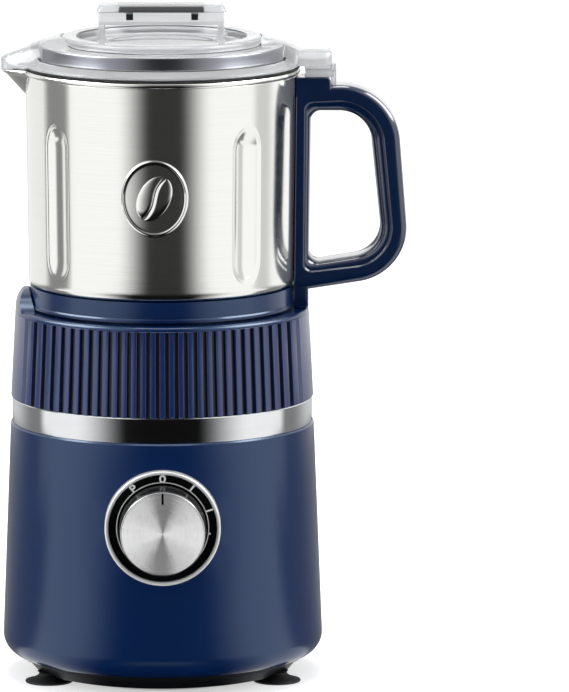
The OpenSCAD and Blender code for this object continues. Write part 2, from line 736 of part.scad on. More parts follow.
module motor_mount_bushes() color(rubber_black) ring_of(4, motor_post_at)
    translate([0, 0, top_plate_z + plate_t]) tube(motor_post_r + 0.6, motor_screw_r + 0.6, bush_h);

module motor_mount_screws() color(zinc) ring_of(4, motor_post_at) translate([0, 0, top_plate_z])
    screw(motor_screw_r, plate_t + bush_h + motor_post_h - 1, 3.2, 2.2);

module brush_holders() color(brass) for (s = [0, 180]) rotate(s) difference() {
    translate([-5, comm_r + 2.5, brush_z - 4.5]) cube([10, 16, 9]);
    translate([-3, comm_r + 1, brush_z - 2.5]) cube([6, 15, 5]);
}

module carbon_brushes() color(black) for (s = [0, 180]) rotate(s)
    translate([-3 + fit_gap, comm_r + lift_gap, brush_z - 2.5 + fit_gap])
        cube([6 - 2 * fit_gap, 12, 5 - 2 * fit_gap]);

// Armature core with winding slots
module armature_core() color(iron) translate([0, 0, core_z0]) linear_extrude(core_h) difference() {
    circle(armature_r);
    circle(shaft_r + run_gap);
    ring_of(12, armature_r - 3.2) square([3.6, 2.4], center = true);
    ring_of(12, armature_r) square([3, 1], center = true);
}

module armature_winding() color(copper) {
    for (z = [core_z0 - winding_h + 0.6, core_z1]) translate([0, 0, z])
        tube(winding_r, shaft_r + run_gap, winding_h - 0.6);
}

shaft_z0 = fan_z - 2;
shaft_z1 = coupling_z + coupling_h - 1;
module motor_shaft() color(steel) translate([0, 0, shaft_z0]) cylinder(r = shaft_r, h = shaft_z1 - shaft_z0);

module commutator() color(copper) translate([0, 0, comm_z]) linear_extrude(comm_h) difference() {
    circle(comm_r);
    circle(shaft_r + run_gap);
    ring_of(12, comm_r) square([2, 0.6], center = true);
}

module cooling_fan() color(black) translate([0, 0, fan_z]) difference() {
    union() {
        cylinder(r = fan_r, h = 1.6);
        translate([0, 0, 1]) linear_extrude(fan_h - 1) {
            circle(8);
            ring_of(9, 6) rotate(18) translate([0, -0.8]) square([fan_r - 9, 1.6]);
        }
    }
    translate([0, 0, -1]) cylinder(r = shaft_r + run_gap, h = fan_h + 2);
}

module star(core_r, tip_r, w) {
    circle(core_r);
    ring_of(lug_count, tip_r / 2) square([tip_r, w], center = true);
}

// Drive coupling on the motor shaft, with upright lugs
module drive_coupling() color(black) difference() {
    union() {
        translate([0, 0, coupling_z]) linear_extrude(coupling_h) star(coupling_core_r, lug_r, lug_w);
        translate([0, 0, well_z - floor_t - 2]) cylinder(r = coupling_core_r + 1, h = coupling_z - well_z + floor_t + 2);
    }
    translate([0, 0, well_z - floor_t - 3])
        cylinder(r = shaft_r + run_gap, h = shaft_z1 - well_z + floor_t + 3 + run_gap);
}

// The safety switch in the collar

button_r = 0.9;
button_x = rod_x - 2;
button_proud = 1.2;
paddle_z = switch_z + switch_h + button_proud + 0.2;

module interlock_switch() color(black) difference() {
    union() {
        translate([switch_x, -switch_w / 2, switch_z]) cube([switch_d, switch_w, switch_h]);
        for (y = switch_pin_y) translate([switch_x + 1, y - 0.4, switch_z - 5.5]) cube([0.8, 0.8, 6]);
    }
    translate([button_x, 0, switch_z + switch_h - 3]) cylinder(r = button_r + run_gap, h = 4);
}

module interlock_button() color(bright) translate([button_x, 0, switch_z + switch_h - 2])
    cylinder(r = button_r, h = 2 + button_proud);

// The cup: steel shell, foot, bearing and blade

flute_r = (pow(flute_w / 2, 2) + pow(flute_depth, 2)) / (2 * flute_depth);
flute_at = [39, 129, 219, 309];
spout_apex_x = 8 - cup_r1;
spout_apex_z = rim_z - spout_drop * (spout_reach + spout_apex_x) / (spout_reach - cup_r1);
spout_edge = atan((spout_reach + spout_apex_x) / (rim_z - spout_apex_z));
spout_half = 26;
bearing_body_r = 8.8;
bearing_flange_r = 13;
bearing_bore_r = 6.5;
bearing_z0 = ring_z - 8;
bearing_z1 = cup_floor_z + 2.2;
foot_spigot_r = well_r - lift_gap - 0.1;
ceiling_t = 4;
cup_corner = 2.4;

// Round-ended rod that presses one flute into the wall
module flute_tool(extra) for (a = flute_at) rotate(a - 90)
    translate([cup_r((rim_z + cup_z0) / 2) - flute_depth + flute_r, 0, cup_z0 + flute_rise])
        rotate_extrude() polygon(concat(
            [[0, -extra]],
            arc([0, flute_r * 0.6], flute_r * 0.6 + extra, -80, -10, 5) * [[flute_r / (flute_r * 0.6), 0], [0, 1]],
            [[flute_r + extra, flute_r * 0.6], [flute_r + extra, flute_len - flute_r * 0.6]],
            arc([0, flute_len - flute_r * 0.6], flute_r * 0.6 + extra, 10, 80, 5) * [[flute_r / (flute_r * 0.6), 0], [0, 1]],
            [[0, flute_len + extra]]
        ));

// Leaning cone that opens the wall into the pouring spout
module spout_cone(shrink) {
    height = rim_z - spout_apex_z;
    intersection() {
        translate([spout_apex_x + shrink, 0, spout_apex_z]) rotate([0, -(spout_edge - spout_half), 0])
            cylinder(r1 = 0, r2 = 2 * height * tan(spout_half), h = 2 * height);
        translate([-2 * spout_reach, -spout_reach, spout_apex_z])
            cube([2 * spout_reach + spout_apex_x - 2, 2 * spout_reach, height - 0.1 + shrink]);
    }
}

module cup_outside() {
    rotate_extrude() union() {
        polygon(concat(
            [[0, cup_z0], [cup_r0 - cup_corner, cup_z0]],
            arc([cup_r0 - cup_corner, cup_z0 + cup_corner], cup_corner, -75, 0, 10),
            [[cup_r1, rim_z], [0, rim_z]]
        ));
        translate([cup_r1 - 0.1, rim_z]) circle(rim_r, $fn = 32);
    }
}

module cup_inside() {
    in_r0 = cup_r0 - cup_wall;
    rotate_extrude() polygon(concat(
        [[0, cup_floor_z], [in_r0 - cup_corner, cup_floor_z]],
        arc([in_r0 - cup_corner, cup_floor_z + cup_corner], cup_corner, -75, 0, 10),
        [[cup_r1 - cup_wall, rim_z], [cup_r1 - cup_wall, rim_z + 2 * rim_r], [0, rim_z + 2 * rim_r]]
    ));
}

// Drawn steel cup with a rolled rim, pressed flutes and a pouring spout
module cup_shell() color(steel) difference() {
    union() {
        difference() {
            cup_outside();
            flute_tool(0);
        }
        spout_cone(0);
    }
    difference() {
        cup_inside();
        flute_tool(cup_wall);
    }
    spout_cone(cup_wall * 1.6);
    translate([0, 0, cup_z0 - 1]) cylinder(r = bearing_body_r + fit_gap, h = 4);
}

// Plastic foot of the cup: a ring that shows, and a hollow spigot that drops into the well
module cup_base() color(navy) {
    spigot_z = well_z + lift_gap;
    difference() {
        rotate_extrude() polygon([
            [bearing_body_r + fit_gap, cup_z0 - ceiling_t], [foot_spigot_r - 3, cup_z0 - ceiling_t],
            [foot_spigot_r - 3, spigot_z], [foot_spigot_r, spigot_z], [foot_spigot_r, ring_z],
            [cup_ring_r + 0.1, ring_z], [cup_ring_r + 0.1, ring_z + 1], [cup_ring_r - 0.2, ring_z + 1.6],
            [cup_ring_r - 0.2, cup_z0], [bearing_body_r + fit_gap, cup_z0]
        ]);
        // Drain notches in the spigot's edge
        ring_of(4, foot_spigot_r, 45) translate([-5, -4, spigot_z - 1]) cube([8, 8, 4]);
    }
}

module bearing_housing() color(steel) difference() {
    union() {
        translate([0, 0, bearing_z0]) cylinder(r = bearing_body_r, h = bearing_z1 - bearing_z0);
        translate([0, 0, cup_floor_z]) cylinder(r = bearing_flange_r, h = bearing_z1 - cup_floor_z);
    }
    translate([0, 0, bearing_z0 - 1]) cylinder(r = bearing_bore_r, h = bearing_z1 - bearing_z0 + 2);
}

module bearing_nut() color(zinc) translate([0, 0, cup_z0 - ceiling_t - 4.5]) difference() {
    cylinder(r = bearing_body_r + 5.5, h = 4.5, $fn = 6);
    translate([0, 0, -1]) cylinder(r = bearing_body_r + run_gap, h = 7);
}

module blade_bushes() color(brass) for (z = [bearing_z0, bearing_z1 - 10]) translate([0, 0, z])
    tube(bearing_bore_r - 0.02, shaft_r + run_gap, 7);

module shaft_seal() color(rubber_black) translate([0, 0, bearing_z1 - 2.8])
    tube(bearing_bore_r - 0.02, shaft_r + run_gap, 2.6);

blade_z = cup_floor_z + blade_rise;
blade_t = 1.6;
driven_z = coupling_z + 0.2;
socket_h = coupling_h + 0.6;
driven_h = 11;
driven_r = 13;
blade_shaft_z0 = driven_z + socket_h + 0.4;
blade_shaft_z1 = blade_z + blade_t + 5;

module blade_shaft() color(steel) {
    translate([0, 0, blade_shaft_z0]) cylinder(r = shaft_r, h = blade_shaft_z1 - blade_shaft_z0);
    translate([0, 0, bearing_z1 + lift_gap]) cylinder(r = shaft_r + 2.5, h = blade_z - bearing_z1 - lift_gap);
}

// One wing of the blade: a ground flat strip that turns up or down at its tip
module wing(lift) {
    root = 10;
    bend = blade_r * 0.45;
    tip = (blade_r - bend) / cos(lift);
    linear_extrude(blade_t) polygon([[0, -7], [root, -7], [bend, -6.5], [bend, 6.5], [root, 7], [0, 7]]);
    translate([bend, 0, 0]) rotate([0, -lift, 0]) translate([-0.4, 0, 0]) linear_extrude(blade_t)
        polygon([[0, -6.5], [tip - 2, -3], [tip, 2.5], [tip - 4, 5.5], [0, 6.5]]);
}

// Cross blade, two wings turned up and two turned down
module blade() color(steel) translate([0, 0, blade_z]) difference() {
    union() {
        cylinder(r = 9, h = blade_t);
        for (a = [0, 180]) rotate(a) wing(22);
        for (a = [90, 270]) rotate(a) wing(-7);
    }
    translate([0, 0, -4]) cylinder(r = shaft_r + run_gap, h = 12);
}

module blade_nut() color(steel) translate([0, 0, blade_z + blade_t]) difference() {
    union() {
        cylinder(r = 7, h = 4.5, $fn = 6);
        translate([0, 0, 4.5]) cylinder(r1 = 5.6, r2 = 3.6, h = 2);
    }
    translate([0, 0, -1]) cylinder(r = shaft_r + run_gap, h = 6 + run_gap);
}

// Coupling under the cup: a socket that drops over the lugs
module driven_coupling() color(black) difference() {
    translate([0, 0, driven_z]) cylinder(r = driven_r, h = driven_h);
    translate([0, 0, driven_z - 1]) linear_extrude(socket_h + 1)
        star(coupling_core_r + lug_gap, lug_r + lug_gap, lug_w + 2 * lug_gap);
    translate([0, 0, driven_z]) cylinder(r = shaft_r + run_gap, h = driven_h + 1);
}

// The handle: two halves round the push rod

grip_z1 = rim_z - grip_drop;
grip_z0 = ring_z + 5.9;
block_top = rim_z - rim_r - 0.7;
block_x = cup_r1 + 13;
spine_top_x = cup_r(grip_z1) + lift_gap;
spine_low_x = cup_r(grip_z0) + lift_gap + 0.1;
edge_out = 2;
edge_in = 4.2;
spring_r = 1.4;
spring_wire = 0.25;
spring_pocket_r = spring_r + spring_wire + 0.25;
spring_z0 = block_top - 11.5;
shoulder_z = block_top - 4.8;
stud_r = 1.8;
stud_y = 5;
stud_len = 8.5;
stud_z = [block_top - 6.5, grip_z0 + 6];
handle_screw_r = 1.4;
handle_screw_at = [
    [block_x + 6, grip_z1 - arm_t / 2],
    [(grip_reach_top + grip_reach_low) / 2 - grip_t / 2 - 0.6, (grip_z0 + grip_z1) / 2],
    [block_x + 4, grip_z0 + arm_t / 2 + 2.4]
];

// Corners of the handle's outer outline and of its finger opening, as x and z with a corner radius
outer_corners = [
    [spine_low_x, grip_z0, 3], [grip_reach_low, grip_z0 + 7, grip_corner + 2],
    [grip_reach_top, grip_z1, grip_corner + 4], [spine_top_x, grip_z1, 3]
];
inner_corners = [
    [spine_low_x + spine_t, grip_z0 + arm_t + 2, 4],
    [grip_reach_low - grip_t - 0.6, grip_z0 + arm_t + 6.6, grip_corner - 8],
    [grip_reach_top - grip_t, grip_z1 - arm_t, grip_corner - 7],
    [spine_top_x + spine_t, grip_z1 - arm_t, 4]
];

// Arc in place of one corner of a loop, in n steps
function corner_arc(p, q, s, r, n) =
    let (u = unit(p - q), v = unit(s - q), half = acos(u * v) / 2,
         c = q + unit(u + v) * r / sin(half),
         from = q + u * r / tan(half) - c,
         first = atan2(from[1], from[0]))
    [for (i = [0:n]) let (a = first + (180 - 2 * half) * i / n) c + r * [cos(a), sin(a)]];

function round_loop(k, n) = [for (i = [0:len(k) - 1])
    let (m = len(k), p = k[(i + m - 1) % m], q = k[i], s = k[(i + 1) % m])
    each corner_arc([p[0], p[1]], [q[0], q[1]], [s[0], s[1]], q[2], n)];

// Half of the handle's section at one station, from the outer line over the edges to the inner line
function half_section(o, i, depth, n) =
    let (w = norm(i - o), d = unit(i - o), eo = min(edge_out, 0.4 * w), ei = min(edge_in, 0.45 * w))
    concat(
        [[o[0], 0, o[1]]],
        [for (k = [0:n]) let (a = 90 * k / n, p = o + d * eo * (1 - cos(a)))
            [p[0], depth - eo + eo * sin(a), p[1]]],
        [for (k = [0:n]) let (a = 90 * k / n, p = i - d * ei * (1 - sin(a)))
            [p[0], depth - ei + ei * cos(a), p[1]]],
        [[i[0], 0, i[1]]]
    );

// Closed loop swept through half sections: faces join each station to the next
module half_loop(depth) {
    steps = 7;
    edge_steps = 4;
    outer = round_loop(outer_corners, steps);
    inner = round_loop(inner_corners, steps);
    n = len(outer);
    m = 2 * edge_steps + 4;
    points = [for (k = [0:n - 1]) each half_section(outer[k], inner[k], depth, edge_steps)];
    faces = [for (k = [0:n - 1], j = [0:m - 1])
        let (a = k * m + j, b = k * m + (j + 1) % m, c = ((k + 1) % n) * m + (j + 1) % m, d = ((k + 1) % n) * m + j)
        each [[a, c, b], [a, d, c]]];
    polyhedron(points, faces, convexity = 6);
}

// One half of the handle on the +Y side, with its block under the lid's tab and its foot
module handle_half() {
    depth = handle_depth / 2;
    difference() {
        union() {
            half_loop(depth);
            translate([0, depth - 0.5, 0]) rotate([90, 0, 0]) linear_extrude(depth - 0.5) polygon([
                [spine_top_x, grip_z1 - arm_t + 1], [block_x + 4, grip_z1 - arm_t + 1],
                [block_x + 4, grip_z1 - 1], [block_x + 1, grip_z1 + 0.6], [block_x, block_top - 1],
                [block_x - 1, block_top], [spine_top_x, block_top]
            ]);
            translate([0, depth - 0.5, 0]) rotate([90, 0, 0]) linear_extrude(depth - 0.5) polygon([
                [spine_low_x, leg_bottom], [spine_low_x + spine_t - 0.2, leg_bottom],
                [spine_low_x + spine_t - 0.2, grip_z0 + 6], [spine_low_x, grip_z0 + 6]
            ]);
        }
        translate([rod_x, 0, leg_bottom - 1]) cylinder(r = rod_r + 0.2, h = block_top - leg_bottom + 2);
        translate([rod_x, 0, spring_z0]) cylinder(r = spring_pocket_r, h = block_top - spring_z0 - 1.2);
        translate([spine_low_x - 1, -1, leg_bottom - 1])
            cube([rod_x + 1.3 - spine_low_x + 1, 1 + paddle_w / 2 + 0.2, 10.5]);
        for (z = stud_z) translate([cup_r0 - 2, stud_y, z]) rotate([0, 90, 0])
            cylinder(r = stud_r + fit_gap, h = stud_len + 4);
        for (p = handle_screw_at) translate([p[0], -1, p[1]]) rotate([-90, 0, 0])
            cylinder(r = handle_screw_r + fit_gap, h = depth - 3);
    }
}

module handle_front() color(navy) difference() {
    mirror([0, 1, 0]) handle_half();
}

module handle_rear() color(navy) difference() {
    handle_half();
    for (p = handle_screw_at) translate([p[0], 0, p[1]]) rotate([-90, 0, 0]) {
        cylinder(r = handle_screw_r + fit_gap, h = handle_depth);
        translate([0, 0, handle_depth / 2 - 3]) cylinder(r = 2.8, h = handle_depth);
    }
}

module handle_screws() color(zinc) for (p = handle_screw_at)
    translate([p[0], handle_depth / 2 - 3, p[1]]) rotate([90, 0, 0]) screw(handle_screw_r, 10, 2.5, 1.8);

module handle_studs() color(steel) for (z = stud_z, s = [-1, 1])
    translate([cup_r(z) - 0.05, s * stud_y, z]) rotate([0, 90, 0]) cylinder(r = stud_r, h = stud_len);

// Push rod: a paddle over the switch, a long rod and a shoulder for its spring
module interlock_rod() color(steel) {
    foot_x0 = spine_low_x + 0.3;
    foot_z = leg_bottom + 1;
    translate([foot_x0, -paddle_w / 2, paddle_z]) cube([skirt_r - 0.3 - foot_x0, paddle_w, foot_z - paddle_z + 1]);
    translate([foot_x0, -paddle_w / 2, foot_z]) cube([rod_x + rod_r - foot_x0, paddle_w, 4.5]);
    translate([rod_x, 0, foot_z + 2]) cylinder(r = rod_r, h = block_top - foot_z - 2);
    translate([rod_x, 0, shoulder_z]) cylinder(r = spring_r + 0.2, h = 1);
}

// Coil spring under the rod's shoulder: one tube swept along a helix
module interlock_spring() color(steel) {
    turns = 5;
    rings = 10;
    sides = 6;
    count = turns * rings;
    z0 = spring_z0 + spring_wire + 0.1;
    rise = (shoulder_z - spring_wire - 0.1 - z0) / count;
    points = [for (k = [0:count], j = [0:sides - 1])
        let (a = 360 * k / rings, b = 360 * j / sides, r = spring_r + spring_wire * cos(b))
        [rod_x + r * cos(a), r * sin(a), z0 + rise * k + spring_wire * sin(b)]];
    skin = [for (k = [0:count - 1], j = [0:sides - 1])
        let (a = k * sides + j, b = k * sides + (j + 1) % sides, c = b + sides, d = a + sides)
        each [[a, c, b], [a, d, c]]];
    first = [for (j = [1:sides - 2]) [0, j, j + 1]];
    last = [for (j = [1:sides - 2]) [count * sides, count * sides + j + 1, count * sides + j]];
    polyhedron(points, concat(skin, first, last), convexity = 10);
}

// The lid

lid_flange_t = 1.1;
step1_z = lid_z + 3.3;
step2_z = lid_z + lid_h - 3.2;
lid_top = lid_z + lid_h;
disc_z = lid_top - 3;
plug_r = cup_r1 - cup_wall - 1.9;
plug_depth = 7.3;
beak_tip_r = 6;
beak_half = 24;
tab_t = 5;

// Plan of the beak: a round tip with straight flanks that spread towards the lid
module beak_plan(inset) {
    c = beak_reach - beak_tip_r;
    r = beak_tip_r - inset;
    run = c - cup_r1 + 18;
    tx = -c - r * sin(beak_half);
    ty = r * cos(beak_half);
    translate([-c, 0]) circle(r);
    polygon([[tx, ty], [tx + run, ty + run * tan(beak_half)], [tx + run, -ty - run * tan(beak_half)], [tx, -ty]]);
}

// Solid under the sloping roof of the beak
module beak_roof(drop) rotate_extrude() polygon([
    [0, lid_z - 4], [beak_reach + 2, lid_z - 4], [beak_reach + 2, lid_z + 3.2 - drop],
    [lid_step2_r + 3, lid_top - 0.3 - drop], [0, lid_top - 0.3 - drop]
]);

module lid_revolve() {
    rotate_extrude() polygon(concat(
        [[0, disc_z - lid_wall], [lid_disc_r + 3, disc_z - lid_wall], [lid_step2_r - 2, disc_z - lid_wall - 0.2],
         [lid_step1_r - lid_wall - 0.8, step2_z - lid_wall - 1.4], [plug_r - lid_wall, lid_z + 0.6],
         [plug_r - lid_wall, lid_z - plug_depth], [plug_r, lid_z - plug_depth], [plug_r, lid_z],
         [lid_r, lid_z], [lid_r, lid_z + lid_flange_t], [lid_step1_r + 0.3, step1_z]],
        arc([lid_step1_r - 2, step2_z - 2.4], 2, 0, 75, 10),
        arc([lid_step2_r + 1.4, step2_z + 1.4], 1.4, 275, 180, 10),
        arc([lid_step2_r - 1.5, lid_top - 1.5], 1.5, 0, 90, 10),
        [[lid_disc_r + 0.6, lid_top], [lid_disc_r, disc_z], [0, disc_z]]
    ));
}

// Clear moulded lid: stepped dome, plug, beak over the spout, and the tab that works the interlock
module lid_shell() color(clear) {
    tab_x = lid_step1_r - 1;
    difference() {
        union() {
            lid_revolve();
            difference() {
                intersection() {
                    translate([0, 0, lid_z - 1.4]) linear_extrude(lid_h + 2) beak_plan(0);
                    beak_roof(0);
                }
                intersection() {
                    translate([0, 0, lid_z - 3]) linear_extrude(lid_h + 2) beak_plan(lid_wall);
                    beak_roof(lid_wall);
                }
                translate([0, 0, lid_z - 3]) cylinder(r = cup_r1 + rim_r + 0.4, h = 3);
                translate([0, 0, lid_z - 4]) cylinder(r = plug_r + 0.5, h = 6);
            }
            difference() {
                translate([tab_x, 0, lid_z]) linear_extrude(tab_t) {
                    translate([0, -tab_w / 2]) square([tab_reach - tab_x - 4, tab_w]);
                    translate([tab_reach - tab_x - 10, 0]) round_square(20, tab_w, 4);
                }
                translate([lid_r - 0.4, -tab_w / 2 + lid_wall, lid_z - 1])
                    cube([tab_reach - lid_r - lid_wall, tab_w - 2 * lid_wall, tab_t - lid_wall + 1]);
            }
            translate([rod_x - 0.6, -2.5, block_top + 0.2]) cube([2.6, 5, lid_z + tab_t - block_top - 1]);
        }
        // The sunken disc and the inside stay open where the tab and beak reach in
        translate([0, 0, disc_z - lid_wall - 12]) cylinder(r = plug_r - lid_wall - 4.6, h = 12);
        translate([0, 0, disc_z]) cylinder(r = lid_disc_r, h = lid_h);
    }
}

module lid_seal() color([0.9, 0.9, 0.88]) rotate_extrude() polygon([
    [plug_r + run_gap, lid_z - 5.6], [plug_r + 0.9, lid_z - 5.6], [plug_r + 1.6, lid_z - 5],
    [plug_r + 0.8, lid_z - 4.2], [plug_r + 1.6, lid_z - 3], [plug_r + 0.9, lid_z - 2.4],
    [plug_r + run_gap, lid_z - 2.4]
]);

grip_wall = 2.6;
grip_under_t = 1.8;
grip_cap_z = disc_z + lid_grip_h - grip_cap_t;
grip_screw_x = lid_grip_w * 0.26;

// Clear bridge on the lid: two side walls with spread feet and an under-plate
module lid_grip() color(clear) difference() {
    union() {
        for (s = [-1, 1]) translate([s * (lid_grip_w / 2 - grip_wall / 2), 0, disc_z]) {
            linear_extrude(lid_grip_h - grip_cap_t) square([grip_wall, lid_grip_d - 3], center = true);
            linear_extrude(1.6) square([grip_wall + 2, lid_grip_d - 1], center = true);
        }
        translate([0, 0, grip_cap_z - grip_under_t]) linear_extrude(grip_under_t)
            square([lid_grip_w, lid_grip_d - 3], center = true);
    }
    for (s = [-1, 1]) translate([s * grip_screw_x, 0, grip_cap_z - grip_under_t - 1])
        cylinder(r = 1.2 + fit_gap, h = grip_under_t + 2);
}

module lid_grip_cap() color(clear) difference() {
    translate([0, 0, grip_cap_z]) linear_extrude(grip_cap_t) round_square(lid_grip_w + 1.4, lid_grip_d, 2.4);
    for (s = [-1, 1]) translate([s * grip_screw_x, 0, grip_cap_z - 1])
        cylinder(r = 1.2 + fit_gap, h = grip_cap_t);
}

module lid_grip_screws() color(zinc) for (s = [-1, 1])
    translate([s * grip_screw_x, 0, grip_cap_z - grip_under_t]) screw(1.2, grip_under_t + grip_cap_t - 1.4, 1.7, 1.8);

bottom_cover();
foot(-1, -1);  // foot_front_left
foot(1, -1);  // foot_front_right
foot(-1, 1);  // foot_rear_left
foot(1, 1);  // foot_rear_right
cover_screws();
housing();
cable_grommet();
chrome_band();
collar();
ribbed_sleeve();
collar_screws();
dial();
dial_bezel();
dial_screws();
rotary_switch();
knob();
knob_face();
switch_spindle();
motor_top_bracket();
motor_bottom_bracket();
motor_top_bearing();
motor_bottom_bearing();
stator();
field_coils();
motor_bolts();
motor_mount_bushes();
motor_mount_screws();
brush_holders();
carbon_brushes();
armature_core();
armature_winding();
motor_shaft();
commutator();
cooling_fan();
drive_coupling();
interlock_switch();
interlock_button();
cup_shell();
cup_base();
bearing_housing();
bearing_nut();
blade_bushes();
shaft_seal();
blade_shaft();
blade();
blade_nut();
driven_coupling();
handle_front();
handle_rear();
handle_screws();
handle_studs();
interlock_rod();
interlock_spring();
lid_shell();
lid_seal();
lid_grip();
lid_grip_cap();
lid_grip_screws();
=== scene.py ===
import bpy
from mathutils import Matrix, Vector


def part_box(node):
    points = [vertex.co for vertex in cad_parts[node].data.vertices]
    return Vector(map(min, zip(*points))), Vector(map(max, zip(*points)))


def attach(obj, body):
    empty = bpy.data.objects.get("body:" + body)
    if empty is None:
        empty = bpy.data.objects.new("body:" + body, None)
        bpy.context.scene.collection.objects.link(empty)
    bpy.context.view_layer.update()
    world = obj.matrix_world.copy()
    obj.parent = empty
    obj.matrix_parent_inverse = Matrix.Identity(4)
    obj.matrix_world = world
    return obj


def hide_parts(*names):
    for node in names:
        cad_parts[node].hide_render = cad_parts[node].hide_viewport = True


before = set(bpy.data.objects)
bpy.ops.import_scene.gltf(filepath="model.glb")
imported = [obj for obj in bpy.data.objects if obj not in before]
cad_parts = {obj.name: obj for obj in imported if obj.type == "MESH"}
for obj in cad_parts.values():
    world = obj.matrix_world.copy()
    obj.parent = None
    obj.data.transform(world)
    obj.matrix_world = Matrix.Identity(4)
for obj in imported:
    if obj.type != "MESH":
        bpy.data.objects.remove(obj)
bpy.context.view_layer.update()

import math

import bmesh
import bpy
import numpy as np
from mathutils import Vector

# Rubber feet
# Four suction cups of soft black rubber. Each is moulded in one piece, a thin bell that
# spreads from a stem, and the stem is pressed into a socket of the bottom cover.

mm = 0.001


class Number:
    """Socket of a shader tree used as a number: each operator adds one Math node."""

    def __init__(self, finish, socket):
        self.finish = finish
        self.socket = socket

    def math(self, operation, first, second):
        """Math node of two numbers."""
        return self.finish.node("ShaderNodeMath", {"operation": operation}, {0: first, 1: second})

    def __add__(self, other):
        return self.math("ADD", self, other)

    def __sub__(self, other):
        return self.math("SUBTRACT", self, other)

    def __rsub__(self, other):
        return self.math("SUBTRACT", other, self)

    def __mul__(self, other):
        return self.math("MULTIPLY", self, other)

    def __truediv__(self, other):
        return self.math("DIVIDE", self, other)

    def __rtruediv__(self, other):
        return self.math("DIVIDE", other, self)

    def __pow__(self, other):
        return self.math("POWER", self, other)

    def __rpow__(self, other):
        return self.math("POWER", other, self)

    __radd__ = __add__
    __rmul__ = __mul__


class Finish:
    """Shader tree of a new material, or of a new world, with one method that adds any node to it."""

    def __init__(self, name, kind=bpy.data.materials):
        self.owner = kind.new(name)
        self.owner.use_nodes = True
        self.tree = self.owner.node_tree
        self.tree.nodes.clear()

    def node(self, kind, settings, sockets, output=0):
        """Adds a node of a kind with its settings and its sockets' values or links. Gives one output."""
        made = self.tree.nodes.new(kind)
        for name, value in settings.items():
            setattr(made, name, value)
        for name, value in sockets.items():
            if isinstance(value, Number):
                self.tree.links.new(value.socket, made.inputs[name])
            else:
                made.inputs[name].default_value = value
        return Number(self, made.outputs[output]) if made.outputs else made

    def axis(self, letter):
        """Object coordinate X, Y or Z in metres."""
        where = self.node("ShaderNodeTexCoord", {}, {}, "Object")
        return self.node("ShaderNodeSeparateXYZ", {}, {"Vector": where}, letter)

    def off_axis(self):
        """Distance in metres from the upright axis through the origin."""
        return (self.axis("X") ** 2.0 + self.axis("Y") ** 2.0) ** 0.5

    def noise(self, scale, detail=3.0, rough=0.5):
        """Soft noise from 0 to 1 with so many lumps a metre on each axis."""
        where = self.node("ShaderNodeTexCoord", {}, {}, "Object")
        place = self.node("ShaderNodeMapping", {}, {"Vector": where, "Scale": scale})
        sockets = {"Vector": place, "Scale": 1.0, "Detail": detail, "Roughness": rough}
        return self.node("ShaderNodeTexNoise", {}, sockets)

    def blend(self, share, first, second):
        """Colour between two colours, by a share from 0 to 1."""
        return self.node("ShaderNodeMix", {"data_type": "RGBA"}, {0: share, 6: first, 7: second}, 2)

    def ramp(self, value, start, end):
        """Soft rise from 0 to 1 while a value goes from a start to an end."""
        sockets = {"Value": value, "From Min": start, "From Max": end}
        return self.node("ShaderNodeMapRange", {"interpolation_type": "SMOOTHSTEP"}, sockets)

    def bump(self, height, depth):
        """Normal of a surface that a height from 0 to 1 lifts by a depth in metres."""
        return self.node("ShaderNodeBump", {}, {"Strength": 1.0, "Distance": depth, "Height": height})

    def surface(self, sockets):
        """Ends the tree with one surface shader and gives the material."""
        shader = self.node("ShaderNodeBsdfPrincipled", {}, sockets)
        self.node("ShaderNodeOutputMaterial", {}, {"Surface": shader})
        return self.owner


def tint(red, green, blue, gain=1.0):
    """Linear colour of a screen colour in 0 to 255, times a gain."""
    share = np.array([red, green, blue]) / 255.0
    linear = np.where(share <= 0.04045, share / 12.92, ((share + 0.055) / 1.055) ** 2.4)
    return tuple(float(v) for v in linear * gain) + (1.0,)


def moulded(name, red, green, blue, rough, grain_mm, grain_depth,
            specular=0.5, coat=0.0, shine=(1, 1, 1, 1)):
    """Moulded plastic or rubber: a slow drift of tone and gloss, and a fine grain of the tool's surface."""
    finish = Finish(name)
    drift = finish.noise((16, 16, 16), 4.0)
    grain = finish.noise((1000 / grain_mm,) * 3, 2.0)
    colour = finish.blend(drift, tint(red, green, blue, 0.90), tint(red, green, blue, 1.10))
    return finish.surface({
        "Base Color": colour,
        "Roughness": rough - 0.08 + drift * 0.10 + grain * 0.06,
        "Specular IOR Level": specular,
        "Specular Tint": shine,
        "Coat Weight": coat,
        "Coat Roughness": 0.04,
        "Normal": finish.bump(grain, grain_depth * mm),
    })


